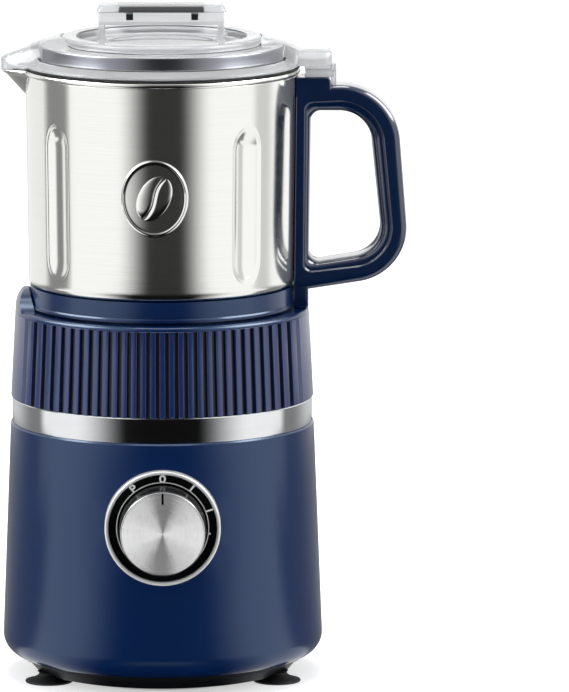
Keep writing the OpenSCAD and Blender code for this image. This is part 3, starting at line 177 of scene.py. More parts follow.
def mesh_of(name, shells, crease=40.0):
    """Mesh of one or more grids of points. Each face joins four neighbours, the grid closes on
    itself where it is asked to, and a closed grid that comes out inside out is turned."""
    points, quads, first = [], [], 0
    for grid, close_rows, close_columns in shells:
        rows, columns = grid.shape[:2]
        ids = np.arange(rows * columns).reshape(rows, columns)
        if close_rows:
            ids = np.vstack([ids, ids[:1]])
        if close_columns:
            ids = np.hstack([ids, ids[:, :1]])
        four = np.stack([ids[:-1, :-1], ids[:-1, 1:], ids[1:, 1:], ids[1:, :-1]], axis=-1).reshape(-1, 4)
        flat = grid.reshape(-1, 3)
        corner = flat[four] - flat.mean(axis=0)
        inside_out = np.einsum("ij,ij->", corner[:, 0], np.cross(corner[:, 1], corner[:, 2]))
        inside_out += np.einsum("ij,ij->", corner[:, 0], np.cross(corner[:, 2], corner[:, 3]))
        if inside_out < 0:
            four = four[:, ::-1]
        points.append(flat)
        quads.append(four + first)
        first += len(flat)
    mesh = bpy.data.meshes.new(name)
    mesh.from_pydata(np.vstack(points).tolist(), [], np.vstack(quads).tolist())
    work = bmesh.new()
    work.from_mesh(mesh)
    bmesh.ops.remove_doubles(work, verts=work.verts, dist=1e-6)
    work.to_mesh(mesh)
    work.free()
    mesh.shade_smooth()
    mesh.set_sharp_from_angle(angle=math.radians(crease))
    return mesh


def piece(name, mesh, material, body, slot, *nodes):
    """Object of a finished mesh, at the origin. It rides on a body and may stand for CAD nodes."""
    made = bpy.data.objects.new(name, mesh)
    bpy.context.scene.collection.objects.link(made)
    mesh.materials.append(material)
    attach(made, body)
    if nodes:
        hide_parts(*nodes)


def lathe(radius, height, columns=192):
    """Profile turned about Z: rows follow the profile, columns go round, radius and height in mm."""
    turn = np.linspace(0, 2 * math.pi, columns, endpoint=False)
    x = np.outer(radius, np.cos(turn))
    y = np.outer(radius, np.sin(turn))
    return np.stack([x, y, np.outer(height, np.ones(columns))], axis=-1) * mm


def cad_span(node, axis):
    """Lowest and highest place of a CAD node along x, y or z, in mm to the tenth that it was drawn to."""
    return [round(corner["xyz".index(axis)] / mm, 1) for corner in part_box(node)]


rubber = moulded("soft_rubber", 14, 14, 15, 0.62, 0.35, 0.02, 0.35)
foot_left, foot_right = cad_span("foot_front_left", "x")
foot_near, foot_far = cad_span("foot_front_left", "y")
foot_x, foot_y = -(foot_left + foot_right) / 2, -(foot_near + foot_far) / 2
foot_r = (foot_right - foot_left) / 2
foot_top = cad_span("foot_front_left", "z")[1]


def foot_grid(x, y):
    """Suction bell: its radius falls from the lip to the neck with about the square of the height still
    to go. It is hollow below, and a thin stem stands on its seat."""
    lip_z, neck_r, seat_r, seat_z, stem_r = 0.9, 4.0, 4.6, 4.4, 2.2
    hollow = np.linspace(0, 1, 8)
    lip_in = np.array([0.6, 0.2, 0, 0, 0.2])
    rise = np.linspace(0, 1, 14)
    bell_r = neck_r + (foot_r - 0.4 - neck_r) * (1 - rise) ** 2.2
    bell_z = lip_z + (seat_z - 0.6 - lip_z) * rise
    radius = np.concatenate([(foot_r - 1) * hollow, foot_r - lip_in, bell_r, [seat_r, stem_r, stem_r, 0]])
    height = np.concatenate([1.9 - 1.8 * hollow ** 2, [0, 0, 0.25, 0.6, 0.85], bell_z,
                             [seat_z, seat_z, foot_top - 0.2, foot_top]])
    return lathe(radius, height, 64) + np.array([x, y, 0]) * mm


for foot, x, y in (("foot_front_left", -foot_x, -foot_y), ("foot_front_right", foot_x, -foot_y),
                   ("foot_rear_left", -foot_x, foot_y), ("foot_rear_right", foot_x, foot_y)):
    bell = mesh_of("rubber_" + foot, [(foot_grid(x, y), False, True)])
    piece("rubber_" + foot, bell, rubber, "base", "black_rubber", foot)

# Bottom cover
# Black moulded plastic tray under the housing, with cooling slots in rays. It plugs into the
# housing's lower edge and four long screws hold it to columns inside.

black_grain = moulded("black_moulding", 17, 20, 26, 0.50, 0.5, 0.03, 0.3)


def dress(material, *names):
    """Puts a finish on CAD nodes that keep their own mesh."""
    for name in names:
        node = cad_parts[name]
        if not node.material_slots:
            node.data.materials.append(material)
        for place in node.material_slots:
            place.material = material


def smooth(share):
    """Soft step: three squares less two cubes of a share that is held between 0 and 1."""
    share = np.clip(share, 0, 1)
    return share ** 2 * (3 - 2 * share)


dress(black_grain, "bottom_cover")


def skirt_grid():
    """Thin cone round the cover, under the housing's edge: below a short straight part its radius falls
    evenly downward, and its lower edge rises in a smooth arch over each of the four feet."""
    top_z, bend_z, low_z = cad_span("housing", "z")[0] - 0.05, 7.0, 2.8
    top_r, low_r, middle_r, wall = 54.9, 51.5, 53.0, 1.6
    arch, arch_half, arch_blend = 2.1, 4.8, 5.7
    turn = np.linspace(0, 2 * math.pi, 480, endpoint=False)[None, :]
    from_side = np.abs(np.arcsin(np.sin(turn)))
    aside = middle_r * np.abs(from_side - math.atan2(foot_y, foot_x))
    low = low_z + arch * (1 - smooth((aside - arch_half) / arch_blend))
    down = np.array([0, 0.16, 0.4, 0.7, 0.93, 0.98, 1, 1, 0.98, 0.6, 0])[:, None]
    inset = np.array([0, 0, 0, 0, 0, 0.12, 0.4, wall - 0.3, wall, wall, wall])[:, None]
    height = top_z - (top_z - low) * down
    radius = top_r - (top_r - low_r) * np.maximum(bend_z - height, 0) / (bend_z - low_z) - inset
    return np.stack([radius * np.cos(turn), radius * np.sin(turn), height], axis=-1) * mm


skirt = mesh_of("cover_skirt", [(skirt_grid(), True, True)])
piece("cover_skirt", skirt, black_grain, "base", "black_plastic")


def plated(name, red, green, blue, rough, streak, depth, metal=1.0):
    """Metal with a slow drift of gloss and fine marks, so many a metre on each axis as streak says."""
    finish = Finish(name)
    drift = finish.noise((22, 22, 22), 3.0)
    marks = finish.noise(streak, 3.0, 0.6)
    return finish.surface({
        "Base Color": finish.blend(marks, tint(red, green, blue, 0.88), tint(red, green, blue)),
        "Metallic": metal,
        "Roughness": rough - 0.03 + drift * 0.04 + marks * 0.05,
        "Normal": finish.bump(marks, depth * mm),
    })


zinc = plated("zinc_plate", 196, 200, 206, 0.30, (900, 900, 900), 0.01)
dress(zinc, "cover_screws")

# Housing
# Tapered navy shell that carries everything, injection moulded with a satin surface. The rear
# wall has the lead's hole, lined by a rubber grommet.

navy = moulded("navy_satin", 0, 31, 78, 0.20, 0.42, 0.0025, 0.8, 0.0, (0.66, 0.83, 1.0, 1))
dress(navy, "housing")
dress(rubber, "cable_grommet")

# Motor
# Universal motor hung from the collar on rubber bushes: sheet iron stack, enamelled copper coils,
# pressed steel brackets, ball bearings, brass brush boxes, carbon brushes and a plastic fan.

iron = plated("sheet_iron", 92, 94, 98, 0.45, (60, 60, 2000), 0.03)
copper = plated("enamelled_copper", 190, 104, 52, 0.32, (500, 500, 2500), 0.04)
brass = plated("turned_brass", 206, 168, 88, 0.28, (200, 200, 3000), 0.01)
steel = plated("ground_steel", 186, 187, 188, 0.26, (260, 260, 2600), 0.01)
carbon = moulded("carbon", 38, 38, 40, 0.55, 0.3, 0.03)
dress(iron, "stator", "armature_core")
dress(copper, "field_coils", "armature_winding", "commutator")
dress(brass, "brush_holders")
dress(steel, "motor_shaft", "motor_top_bearing", "motor_bottom_bearing")
dress(zinc, "motor_top_bracket", "motor_bottom_bracket", "motor_bolts", "motor_mount_screws")
dress(rubber, "motor_mount_bushes")
dress(carbon, "carbon_brushes")
dress(black_grain, "cooling_fan", "drive_coupling")

# Bright band
# Polished ring of plated brass between the housing and the collar, rolled from strip with its
# two edges broken. It is clamped when the collar's screws pull down.

mirror = plated("mirror_plate", 226, 228, 230, 0.06, (30, 30, 400), 0.0)
band_low, band_high = cad_span("chrome_band", "z")
band_out = cad_span("chrome_band", "x")[1]
band_wall, band_edge = 1.8, 0.35
edge_in = np.array([band_wall, band_edge, 0.1, 0, 0])
edge_up = np.array([0, 0, 0.1, band_edge, 0.5])
band_r = band_out - np.concatenate([edge_in, edge_in[::-1]])
band_z = np.concatenate([band_low + edge_up, band_high - edge_up[::-1]])
band = mesh_of("bright_band", [(lathe(band_r, band_z, 256), True, True)])
piece("bright_band", band, mirror, "base", "bright_trim", "chrome_band")

# Collar and ribbed sleeve
# Navy upper body with the cup's well, moulded in one piece and screwed down, and a sleeve with upright
# square-cut ribs pushed over it. The lid's interlock switch sits inside, under a white button.

dress(navy, "collar")
dress(zinc, "collar_screws")
dress(black_grain, "interlock_switch")
white_seal = moulded("white_seal", 214, 216, 214, 0.5, 0.3, 0.01)
dress(white_seal, "interlock_button")
sleeve_low, sleeve_high = band_high + 0.02, cad_span("ribbed_sleeve", "z")[1]
sleeve_low_r, sleeve_high_r = cad_span("ribbed_sleeve", "x")[1], 58.6


def sleeve_grid():
    """Tapered ring. Its radius falls evenly with height. In front and behind, upright grooves are cut
    straight in, so that they lie evenly spaced as seen from the front. The lands between them are a
    little round, and a narrow plain rim closes the grooves at the top."""
    low, high, low_r, high_r = sleeve_low, sleeve_high, sleeve_low_r, sleeve_high_r
    inner, pitch, depth, rim, across, ribs = 56.36, 3.8, 1.6, 0.35, 60.0, 29
    offset = np.array([-1.9, -1.24, -1.1, -0.98, -0.7, -0.3, 0.3, 0.7, 0.98, 1.1, 1.24])
    cut = np.array([1, 1, 0.12, 0.05, 0.015, 0, 0, 0.015, 0.05, 0.12, 1]) * depth
    middle = (np.arange(ribs) - ribs // 2)[:, None] * pitch
    rib_x = (middle + offset).ravel()[1:]
    rib_cut = np.tile(cut, ribs)[1:]
    face = np.arcsin(rib_x / across)
    plain = np.radians(np.arange(68, 113, 2.0))
    turn = np.concatenate([face, plain, math.pi + face, math.pi + plain]) - math.pi / 2
    groove = np.concatenate([rib_cut, 0 * plain, rib_cut, 0 * plain])
    height = np.array([low, low, low + 0.3, low + 12, low + 24,
                       high - rim - 0.08, high - rim, high - 0.3, high, high])
    taken = np.array([0, 1, 1, 1, 1, 1, 0, 0, 0, 0])
    radius = low_r + (high_r - low_r) * (height - low) / (high - low)
    radius[[1, 8]] -= [0.3, 0.3]
    radius[[0, 9]] = inner
    reach = radius[:, None] - taken[:, None] * groove
    flat = np.ones(len(turn))
    return np.stack([reach * np.cos(turn), reach * np.sin(turn), np.outer(height, flat)], axis=-1) * mm


def ribbed(name):
    """Semi-gloss navy plastic, duller by how deep a point lies under the ribs' tapered face, and with
    painted shade there: its colour goes towards a near-black navy in the grooves.
    """
    finish = Finish(name)
    taper = (sleeve_low_r - sleeve_high_r) / (sleeve_high - sleeve_low)
    face = sleeve_low_r * mm - (finish.axis("Z") - sleeve_low * mm) * taper
    sunk = finish.ramp(face - finish.off_axis(), 0.3 * mm, 1.3 * mm)
    drift = finish.noise((16, 16, 16), 4.0)
    land = finish.blend(drift, tint(2, 34, 92, 0.92), tint(2, 34, 92, 1.08))
    return finish.surface({
        # Painted shade: the colour is blended from the lands' navy to near-black navy by the grooves'
        # depth.
        "Base Color": finish.blend(sunk, land, tint(0, 9, 27)),
        "Roughness": 0.19 + drift * 0.06 + sunk * 0.25,
        "Specular IOR Level": 0.9,
        "Normal": finish.bump(finish.noise((2000, 2000, 2000), 2.0), 0.003 * mm),
    })


sleeve = mesh_of("navy_sleeve", [(sleeve_grid(), True, True)], 30.0)
piece("navy_sleeve", sleeve, ribbed("rib_navy"), "base", "navy_body", "ribbed_sleeve")

# Dial and bezel
# Black dished disc in the housing's front with its printed marks, and a bright turned ring that
# clamps it. Four screws hold its flange from inside, with the rotary switch behind.

knob_z = sum(cad_span("knob", "z")) / 2


def face_front(grid):
    """Turns a piece made about Z to the housing's front: its z points out along -Y at the knob's height."""
    x, y, z = grid[..., 0], grid[..., 1], grid[..., 2]
    return np.stack([x, -z, y + knob_z * mm], axis=-1)


dial_black = moulded("dial_black", 9, 10, 12, 0.22, 0.6, 0.004, 0.4)
dress(dial_black, "dial")
dress(black_grain, "rotary_switch")
dress(zinc, "dial_screws")
bezel_out, bezel_front = cad_span("dial_bezel", "x")[1], -cad_span("dial_bezel", "y")[0]
bezel_in, bezel_back, bezel_half = 21.4, 51.3, 0.75
bezel_bow = np.linspace(0, math.pi, 24)
bezel_r = np.concatenate([[bezel_in, bezel_out], bezel_in + bezel_half + bezel_half * np.cos(bezel_bow)])
bezel_y = np.concatenate([[bezel_back] * 2, bezel_front - bezel_half + bezel_half * np.sin(bezel_bow)])
bezel_grid = face_front(lathe(bezel_r, bezel_y, 256))
bezel_shine = plated("bezel_plate", 253, 253, 253, 0.24, (30, 30, 30), 0.0, 0.35)
bezel = mesh_of("bright_bezel", [(bezel_grid, True, True)])
piece("bright_bezel", bezel, bezel_shine, "base", "bright_trim", "dial_bezel")
wire_ring, wire_out, wire_r = 18.1, 62.36, 0.24
wire_turn = np.linspace(0, 2 * math.pi, 12, endpoint=False)
wire_grid = face_front(lathe(wire_ring + wire_r * np.cos(wire_turn), wire_out + wire_r * np.sin(wire_turn)))
piece("dial_wire", mesh_of("dial_wire", [(wire_grid, True, True)]), bezel_shine, "base", "bright_trim")
cone_in, cone_out, cone_low, cone_rise = 17.9, 21.25, 62.305, 1.0


def stroke(path, width, ring, middle_deg, closed=False):
    """Printed stroke: a ribbon of a given width along a flat path, laid on the dial's cone. The path
    has x to the right and y outward in mm, the middle angle goes clockwise from the top."""
    path = np.asarray(path, float)
    if closed:
        along = np.roll(path, -1, axis=0) - np.roll(path, 1, axis=0)
    else:
        along = np.gradient(path, axis=0)
    along /= np.linalg.norm(along, axis=1)[:, None]
    side = np.stack([-along[:, 1], along[:, 0]], axis=1) * width / 2
    flat = np.stack([path - side, path + side], axis=1)
    angle = math.radians(middle_deg) + flat[..., 0] / ring
    radius = ring + flat[..., 1]
    out = cone_low + (radius - cone_in) * cone_rise / (cone_out - cone_in) + 0.05
    lifted = np.stack([radius * np.sin(angle), radius * np.cos(angle), out], axis=-1) * mm
    sunk = lifted - np.array([0, 0, 0.12 * mm])
    solid = np.concatenate([lifted, sunk[:, ::-1]], axis=1)
    return face_front(solid), closed, True


def line(x0, y0, x1, y1, count=6):
    """Straight path between two points."""
    return np.stack([np.linspace(x0, x1, count), np.linspace(y0, y1, count)], axis=1)


def oval(half_w, half_h, x, y, start=0.0, sweep=360.0, count=32):
    """Path round an ellipse, or along a part of it, from a start angle in degrees."""
    turn = np.radians(np.linspace(start, start + sweep, count, endpoint=sweep < 360))
    return np.stack([x + half_w * np.cos(turn), y + half_h * np.sin(turn)], axis=1)


mark_r, mark_w, mark_h = 19.6, 0.72, 1.6
pulse_turn, speed_1_turn, speed_2_turn, end_turn = -36, 36, 69, 97
tick = line(0, -mark_h, 0, mark_h)
pulse_bow = np.concatenate([line(-0.75, 1.3, 0.1, 1.3, 3), oval(0.75, 0.7, 0.1, 0.6, 80, -160, 12),
                            line(0.1, -0.1, -0.75, -0.1, 3)])
marks = [
    stroke(oval(0.95, 1.38, 0, 0), mark_w, mark_r, 0, True),
    stroke(line(-0.75, -mark_h, -0.75, mark_h), mark_w, mark_r, pulse_turn),
    stroke(pulse_bow, mark_w, mark_r, pulse_turn),
    stroke(tick, mark_w, mark_r, speed_1_turn),
    stroke(tick, mark_w, mark_r, speed_2_turn),
    stroke(line(0, -mark_h, 0, -0.6), mark_w, mark_r, end_turn),
]
ink = moulded("white_ink", 254, 254, 254, 0.5, 0.2, 0.005)
piece("dial_marks", mesh_of("dial_marks", marks), ink, "base", "black_plastic")

# Knob
# Black drum of moulded plastic on the switch spindle, with a spun aluminium disc glued into its
# front. The pointer is a black line across the disc's upper edge.

dress(dial_black, "knob")
dress(steel, "switch_spindle")


def spun(name):
    """Turned aluminium: fine rings about the knob's axis, in tone and gloss."""
    finish = Finish(name)
    across = (finish.axis("X") ** 2.0 + (finish.axis("Z") - knob_z * mm) ** 2.0) ** 0.5
    sockets = {"W": across, "Scale": 3600.0, "Detail": 2.0}
    ring = finish.node("ShaderNodeTexNoise", {"noise_dimensions": "1D"}, sockets)
    return finish.surface({
        "Base Color": finish.blend(ring, tint(240, 240, 241), tint(252, 252, 252)),
        "Metallic": 1.0,
        "Roughness": 0.18 + ring * 0.06,
    })


face_r = cad_span("knob_face", "x")[1]
face_out, face_back = (-y for y in cad_span("knob_face", "y"))


def knob_face_grid():
    """Shallow turned disc inside a raised rim: the tool's rings are V grooves of uneven depth, 0.1 mm
    apart, and the face sinks a little towards its middle."""
    back, front, sink, pitch = face_back, face_out, 0.15, 0.1
    count = int((face_r - 0.5) / pitch)
    ring = np.arange(2 * count + 1)
    across = ring * pitch / 2
    slope = np.radians(np.random.default_rng(4).uniform(27, 33, count + 1))
    groove = (ring % 2) * np.tan(slope[ring // 2]) * pitch / 2
    dish = front - 0.02 - sink * (1 - (across / face_r) ** 2) - groove
    edge_r = np.array([face_r - 0.42, face_r - 0.2, face_r - 0.05, face_r, face_r, 0])
    edge_y = np.array([front + 0.02, front + 0.02, front - 0.1, front - 0.3, back, back])
    return face_front(lathe(np.concatenate([across, edge_r]), np.concatenate([dish, edge_y]), 160))


face = mesh_of("spun_disc", [(knob_face_grid(), False, True)], 20.0)
piece("spun_disc", face, spun("spun_aluminium"), "knob", "spun_face", "knob_face")


def bar_grid(width, low, high, back, front, soft):
    """Rounded bar: a rectangle with softened corners, carried from its back to its front edge."""
    turn = np.linspace(0, 2 * math.pi, 40, endpoint=False)
    reach_x, reach_y = width / 2 - soft, (high - low) / 2 - soft
    x = np.sign(np.cos(turn)) * reach_x + soft * np.cos(turn)
    y = np.sign(np.sin(turn)) * reach_y + soft * np.sin(turn)
    share = np.array([0, 1, 1, 0.85, 0])
    depth = np.array([back, back, front - 0.04, front, front])
    middle = (low + high) / 2
    bar = [np.outer(share, x), np.outer(share, y) + middle, np.outer(depth, np.ones(len(turn)))]
    return face_front(np.stack(bar, axis=-1) * mm)


pointer_grid = bar_grid(0.9, 11.8, face_r - 0.3, face_out - 0.5, face_out + 0.1, 0.3)
pointer = mesh_of("knob_pointer", [(pointer_grid, False, True)])
piece("knob_pointer", pointer, dial_black, "knob", "black_plastic")

# Cup
# Drawn stainless steel shell, brushed round its outside, with pressed upright flutes, a pouring
# spout and a rolled rim. It sits on a navy plastic foot that drops into the collar's well.

dress(navy, "cup_base")


def brushed(name):
    """Stainless steel brushed round the cup: long level hairlines in tone, gloss and height."""
    finish = Finish(name)
    hair = finish.noise((26, 26, 5200), 3.0, 0.65)
    coarse = finish.noise((9, 9, 700), 3.0, 0.6)
    drift = finish.noise((14, 14, 14), 2.0)
    return finish.surface({
        "Base Color": finish.blend(hair, tint(222, 222, 218), tint(238, 238, 234)),
        "Metallic": 1.0,
        "Roughness": 0.05 + hair * 0.06 + coarse * 0.04 + drift * 0.02,
        "Anisotropic": 0.5,
        "Normal": finish.bump(hair + coarse * 0.4, 0.006 * mm),
    })


cup_low, cup_top = cad_span("cup_shell", "z")
cup_rim, cup_low_r, cup_rim_r, cup_wall = cup_top - 1.5, 53.0, 54.0, 0.9
flute_turns = np.array([-51, 39, 129, 219])
spout_proud = 9.0


def cup_radius(z):
    """Radius of the cup's outside, which grows evenly from the floor to the rim."""
    return cup_low_r + (cup_rim_r - cup_low_r) * (z - cup_low) / (cup_rim - cup_low)


def flute_depth(turn, z):
    """Depth pressed in by the four flutes: an arc across that fades to both ends, with a fine pressed
    line round it."""
    deep, half_w, low, high, fade, line_deep, line_w = 1.9, 6.5, 163.6, 225.1, 9.0, 0.3, 0.4
    arc_r = (half_w ** 2 + deep ** 2) / (2 * deep)
    off = (turn - math.radians(flute_turns[0]) + math.pi / 4) % (math.pi / 2) - math.pi / 4
    ends = np.maximum(z - (high - fade), 0) + np.maximum(low + fade - z, 0)
    apart = np.hypot(cup_radius(z) * off, ends * half_w / fade)
    arc = np.sqrt(np.maximum(arc_r ** 2 - apart ** 2, 0)) - (arc_r - deep)
    return np.maximum(arc, 0) * (apart < half_w) + line_deep * np.exp(-((apart - half_w) / line_w) ** 2)


def spout_reach(turn, z):
    """How far the wall is pushed out into the spout: a rounded V about -X that grows evenly to the rim."""
    drop, lean, tip = 10.0, 0.95, 2.5
    off = (turn % (2 * math.pi)) - math.pi
    y = cup_rim_r * np.sin(np.clip(off, -1.2, 1.2))
    grown = np.clip((z - (cup_rim - drop)) / drop, 0, 1) * spout_proud
    return np.maximum(grown - lean * (np.hypot(y, tip) - tip), 0)


def cup_grid():
    """Closed profile turned about Z: floor, corner, outside wall, rolled rim, inside wall and floor
    again, with the flutes pressed in and the spout pushed out of both sides of the wall. The columns
    stand close together at the flutes and the spout."""
    hole, corner, roll_r, roll_out = 8.95, 2.4, 1.2, 0.1
    bow = np.radians(np.linspace(-90, 0, 9))
    roll = np.radians(np.linspace(-100, 205, 20))
    up = np.linspace(cup_low + corner, cup_rim - 1.4, 116)
    out_r = np.concatenate([[hole, 30], cup_low_r - corner + corner * np.cos(bow), cup_radius(up[1:])])
    out_z = np.concatenate([[cup_low, cup_low], cup_low + corner + corner * np.sin(bow), up[1:]])
    rim_r = cup_rim_r + roll_out + roll_r * np.cos(roll)
    rim_z = cup_rim + roll_r * np.sin(roll)
    down = np.linspace(cup_rim - 1.6, cup_low + cup_wall + corner + 0.5, 24)
    floor = cup_low + cup_wall
    bend_r = (cup_low_r - cup_wall - corner + corner * np.cos(bow))[::-1]
    bend_z = (floor + corner + corner * np.sin(bow))[::-1]
    in_r = np.concatenate([cup_radius(down) - cup_wall, bend_r, [30, hole]])
    in_z = np.concatenate([down, bend_z, [floor, floor]])
    radius = np.concatenate([out_r, rim_r, in_r])[:, None]
    height = np.concatenate([out_z, rim_z, in_z])[:, None]
    rim = np.concatenate([np.zeros(len(out_r)), np.ones(len(rim_r)), np.zeros(len(in_r))])[:, None]
    close = (flute_turns[:, None] + np.arange(-9, 9.1, 0.3)).ravel()
    spread = np.concatenate([close, 180 + np.arange(-24, 24, 0.9), np.arange(0, 360, 2.0)])
    turn = np.radians(np.unique(np.round(spread % 360, 2)))[None, :]
    spout = spout_reach(turn, height)
    rim_spout = spout_reach(turn, cup_rim)
    thin = rim * rim_spout / spout_proud * 0.55
    radius = radius - (radius - cup_rim_r - roll_out) * thin
    level = height - (height - cup_rim) * thin
    radius = radius + np.where(rim > 0, rim_spout, spout)
    radius = radius - flute_depth(turn, height) * (radius > 40)
    return np.stack([radius * np.cos(turn), radius * np.sin(turn), level + 0 * turn], axis=-1) * mm


cup_steel = brushed("brushed_steel")
cup = mesh_of("steel_cup", [(cup_grid(), True, True)], 60.0)
piece("steel_cup", cup, cup_steel, "cup", "cup_steel", "cup_shell")


def badge_grid():
    """Pressed oval badge that follows the cup's wall: a raised ring round a coffee bean with its bent
    crease. Rows go out from the middle, columns go round, and the last rows turn back into the wall."""
    middle_x, middle_z, half_w, half_h = -3.0, 199.0, 13.5, 15.5
    bean_long, bean_wide, lean = 9.4, 6.2, math.radians(62)
    out = np.linspace(0, 1, 110)[:, None]
    turn = np.linspace(0, 2 * math.pi, 240, endpoint=False)[None, :]
    across = out * np.cos(turn) * half_w
    up = out * np.sin(turn) * half_h
    ring = 0.45 * np.exp(-((out - 0.93) / 0.04) ** 2)
    along = across * math.cos(lean) + up * math.sin(lean)
    side = -across * math.sin(lean) + up * math.cos(lean)
    bean = np.sqrt(np.maximum(1 - (along / bean_long) ** 2 - (side / bean_wide) ** 2, 0))
    crease = np.exp(-((side - 0.9 * np.sin(along / bean_long * math.pi)) / 0.75) ** 2)
    relief = ring + 0.6 * bean - 0.5 * crease * (bean > 0) * np.minimum(bean * 2, 1)
    z = middle_z + up
    radius = cup_radius(z) + 0.02 + relief
    azimuth = -math.pi / 2 + (middle_x + across) / cup_radius(z)
    front = np.stack([radius * np.cos(azimuth), radius * np.sin(azimuth), z], axis=-1)
    turned = [-1, 0]
    back_r = cup_radius(z[turned]) - 0.4
    back = [back_r * np.cos(azimuth[turned]), back_r * np.sin(azimuth[turned]), z[turned]]
    back = np.stack(back, axis=-1)
    return np.concatenate([front, back]) * mm


badge = mesh_of("cup_badge", [(badge_grid(), False, True)], 60.0)
piece("cup_badge", badge, cup_steel, "cup", "cup_steel")

# Blade and its bearing
# Stamped and ground cross blade on a steel shaft, in brass bushes inside a turned steel bearing
# housing. A big nut under the foot clamps cup and foot together.

dress(steel, "blade", "blade_nut", "blade_shaft", "bearing_housing")
dress(brass, "blade_bushes")
dress(zinc, "bearing_nut")
dress(rubber, "shaft_seal")
dress(black_grain, "driven_coupling")

# Handle
# Closed loop of navy plastic with a semi-gloss surface, moulded in two halves that three screws
# join from behind. Steel studs welded to the cup go through its spine.

navy_gloss = moulded("navy_gloss", 0, 26, 62, 0.12, 0.5, 0.0015, 0.8, 0.8)
dress(zinc, "handle_screws")
dress(steel, "handle_studs", "interlock_rod", "interlock_spring")
grip_low, grip_high = cad_span("handle_front", "z")
grip_half, grip_part = -cad_span("handle_front", "y")[0], 0.06


def rounded_loop(corners, steps):
    """Closed line through corners of x, z and radius, each corner replaced by an arc of so many steps."""
    corners = np.asarray(corners, float)
    here, r = corners[:, :2], corners[:, 2]
    before = np.roll(here, 1, axis=0) - here
    after = np.roll(here, -1, axis=0) - here
    before /= np.linalg.norm(before, axis=1)[:, None]
    after /= np.linalg.norm(after, axis=1)[:, None]
    half = np.arccos(np.einsum("ij,ij->i", before, after)) / 2
    bisector = before + after
    bisector /= np.linalg.norm(bisector, axis=1)[:, None]
    centre = here + bisector * (r / np.sin(half))[:, None]
    start = here + before * (r / np.tan(half))[:, None] - centre
    first = np.arctan2(start[:, 1], start[:, 0])
    sense = np.sign(before[:, 0] * after[:, 1] - before[:, 1] * after[:, 0])
    swept = sense * (math.pi - 2 * half)
    angle = first[:, None] - swept[:, None] * np.linspace(0, 1, steps)
    arc = centre[:, None, :] + r[:, None, None] * np.stack([np.cos(angle), np.sin(angle)], axis=-1)
    return arc.reshape(-1, 2)


def beside_cup(grid):
    """Keeps each point 0.3 mm clear of the cup's wall, so that the side next to the cup follows it."""
    x, y, z = grid[..., 0], grid[..., 1], grid[..., 2]
    wall = np.sqrt((cup_radius(np.maximum(z, cup_low)) + 0.3) ** 2 - y ** 2)
    return np.stack([np.maximum(x, wall), y, z], axis=-1)


def grip_grid(side):
    """Half of the grip: at each station of the loop a section runs from the outer line over a rounded
    edge, across the flat face, down a small step and over a large rounded edge to the inner line.
    Side is -1 in front, 1 behind."""
    depth, edge, bevel, step, part = grip_half, 2.4, 4.2, 0.8, grip_part
    outer = rounded_loop([[52.0, 155.3, 3], [99, 162.3, 22], [93, 238.1, 24], [52.8, 238.1, 3]], 40)
    inner = rounded_loop([[58.6, 166.6, 4], [88.2, 171.2, 12], [82.4, 227.6, 13], [59.44, 227.6, 4]], 40)
    span = np.linalg.norm(inner - outer, axis=1)[:, None]
    way = (inner - outer) / span
    edge = np.minimum(edge, 0.3 * span)
    bevel = np.minimum(bevel, 0.36 * span)
    bow = np.linspace(0, math.pi / 2, 10)[None, :]
    over = edge * (1 - np.cos(bow))
    rise = depth - edge * (1 - np.sin(bow))
    ledge = np.array([[-1.4, -1.1, -0.8, -0.55, -0.35, -0.2, -0.05]])
    ledge_drop = np.array([[0, 0.03, 0.12, 0.28, 0.5, 0.72, 0.8]])
    under = span - bevel * (1 - np.sin(bow))
    fall = depth - step - bevel * (1 - np.cos(bow))
    flat = np.ones_like(span)
    along = np.concatenate([0 * span, over, span - bevel + ledge, under, span], axis=1)
    out = np.concatenate([part * flat, rise, depth - ledge_drop * flat, fall, part * flat], axis=1) * side
    x = outer[:, :1] + way[:, :1] * along
    z = outer[:, 1:] + way[:, 1:] * along
    return beside_cup(np.stack([x, out, z], axis=-1)) * mm


# An inset so large that a row of points shrinks to its middle, which closes the end of a piece.
closed_up = 1e6


def plate_grid(outline, side, near, far, soft):
    """Flat outline in x and z carried from a near to a far depth, its far edge rounded inward."""
    outline = np.asarray(outline, float)
    middle = outline.mean(axis=0)
    bow = np.linspace(0, math.pi / 2, 7)
    depth = np.concatenate([[near, near], far - soft + soft * np.sin(bow), [far]])
    pull = np.concatenate([[closed_up, 0], soft * (1 - np.cos(bow)), [closed_up]])
    reach = np.linalg.norm(outline - middle, axis=1)
    keep = np.maximum(1 - pull[:, None] / reach[None, :], 0)
    x = middle[0] + keep * (outline[:, 0] - middle[0])[None, :]
    z = middle[1] + keep * (outline[:, 1] - middle[1])[None, :]
    return beside_cup(np.stack([x, np.outer(side * depth, np.ones(len(outline))), z], axis=-1)) * mm


block = rounded_loop([[52.6, 233.4, 0.5], [68, 233.4, 0.5], [67.4, 237.0, 1.0],
                      [67, grip_high, 1.2], [52.6, grip_high, 0.8]], 8)
leg = rounded_loop([[52.4, grip_low, 0.6], [58.35, grip_low, 1.2], [58.35, 162, 0.5], [52.4, 162, 0.5]], 8)
for name, side, node in (("grip_front", -1, "handle_front"), ("grip_rear", 1, "handle_rear")):
    shells = [(grip_grid(side), True, True),
              (plate_grid(block, side, grip_part, grip_half - 0.02, 0.7), False, True),
              (plate_grid(leg, side, 2.3, grip_half - 0.2, 1.2), False, True)]
    piece(name, mesh_of(name, shells, 45.0), navy_gloss, "cup", "navy_gloss", node)

# Lid
# Clear moulded plastic: a stepped dome with a sunken middle, a plug with a soft seal ring, a beak
# that covers the spout, and a tab over the handle that presses the interlock's rod.

plug_deep = 7.3
lid_z = cad_span("lid_shell", "z")[0] + plug_deep
dress(white_seal, "lid_seal")


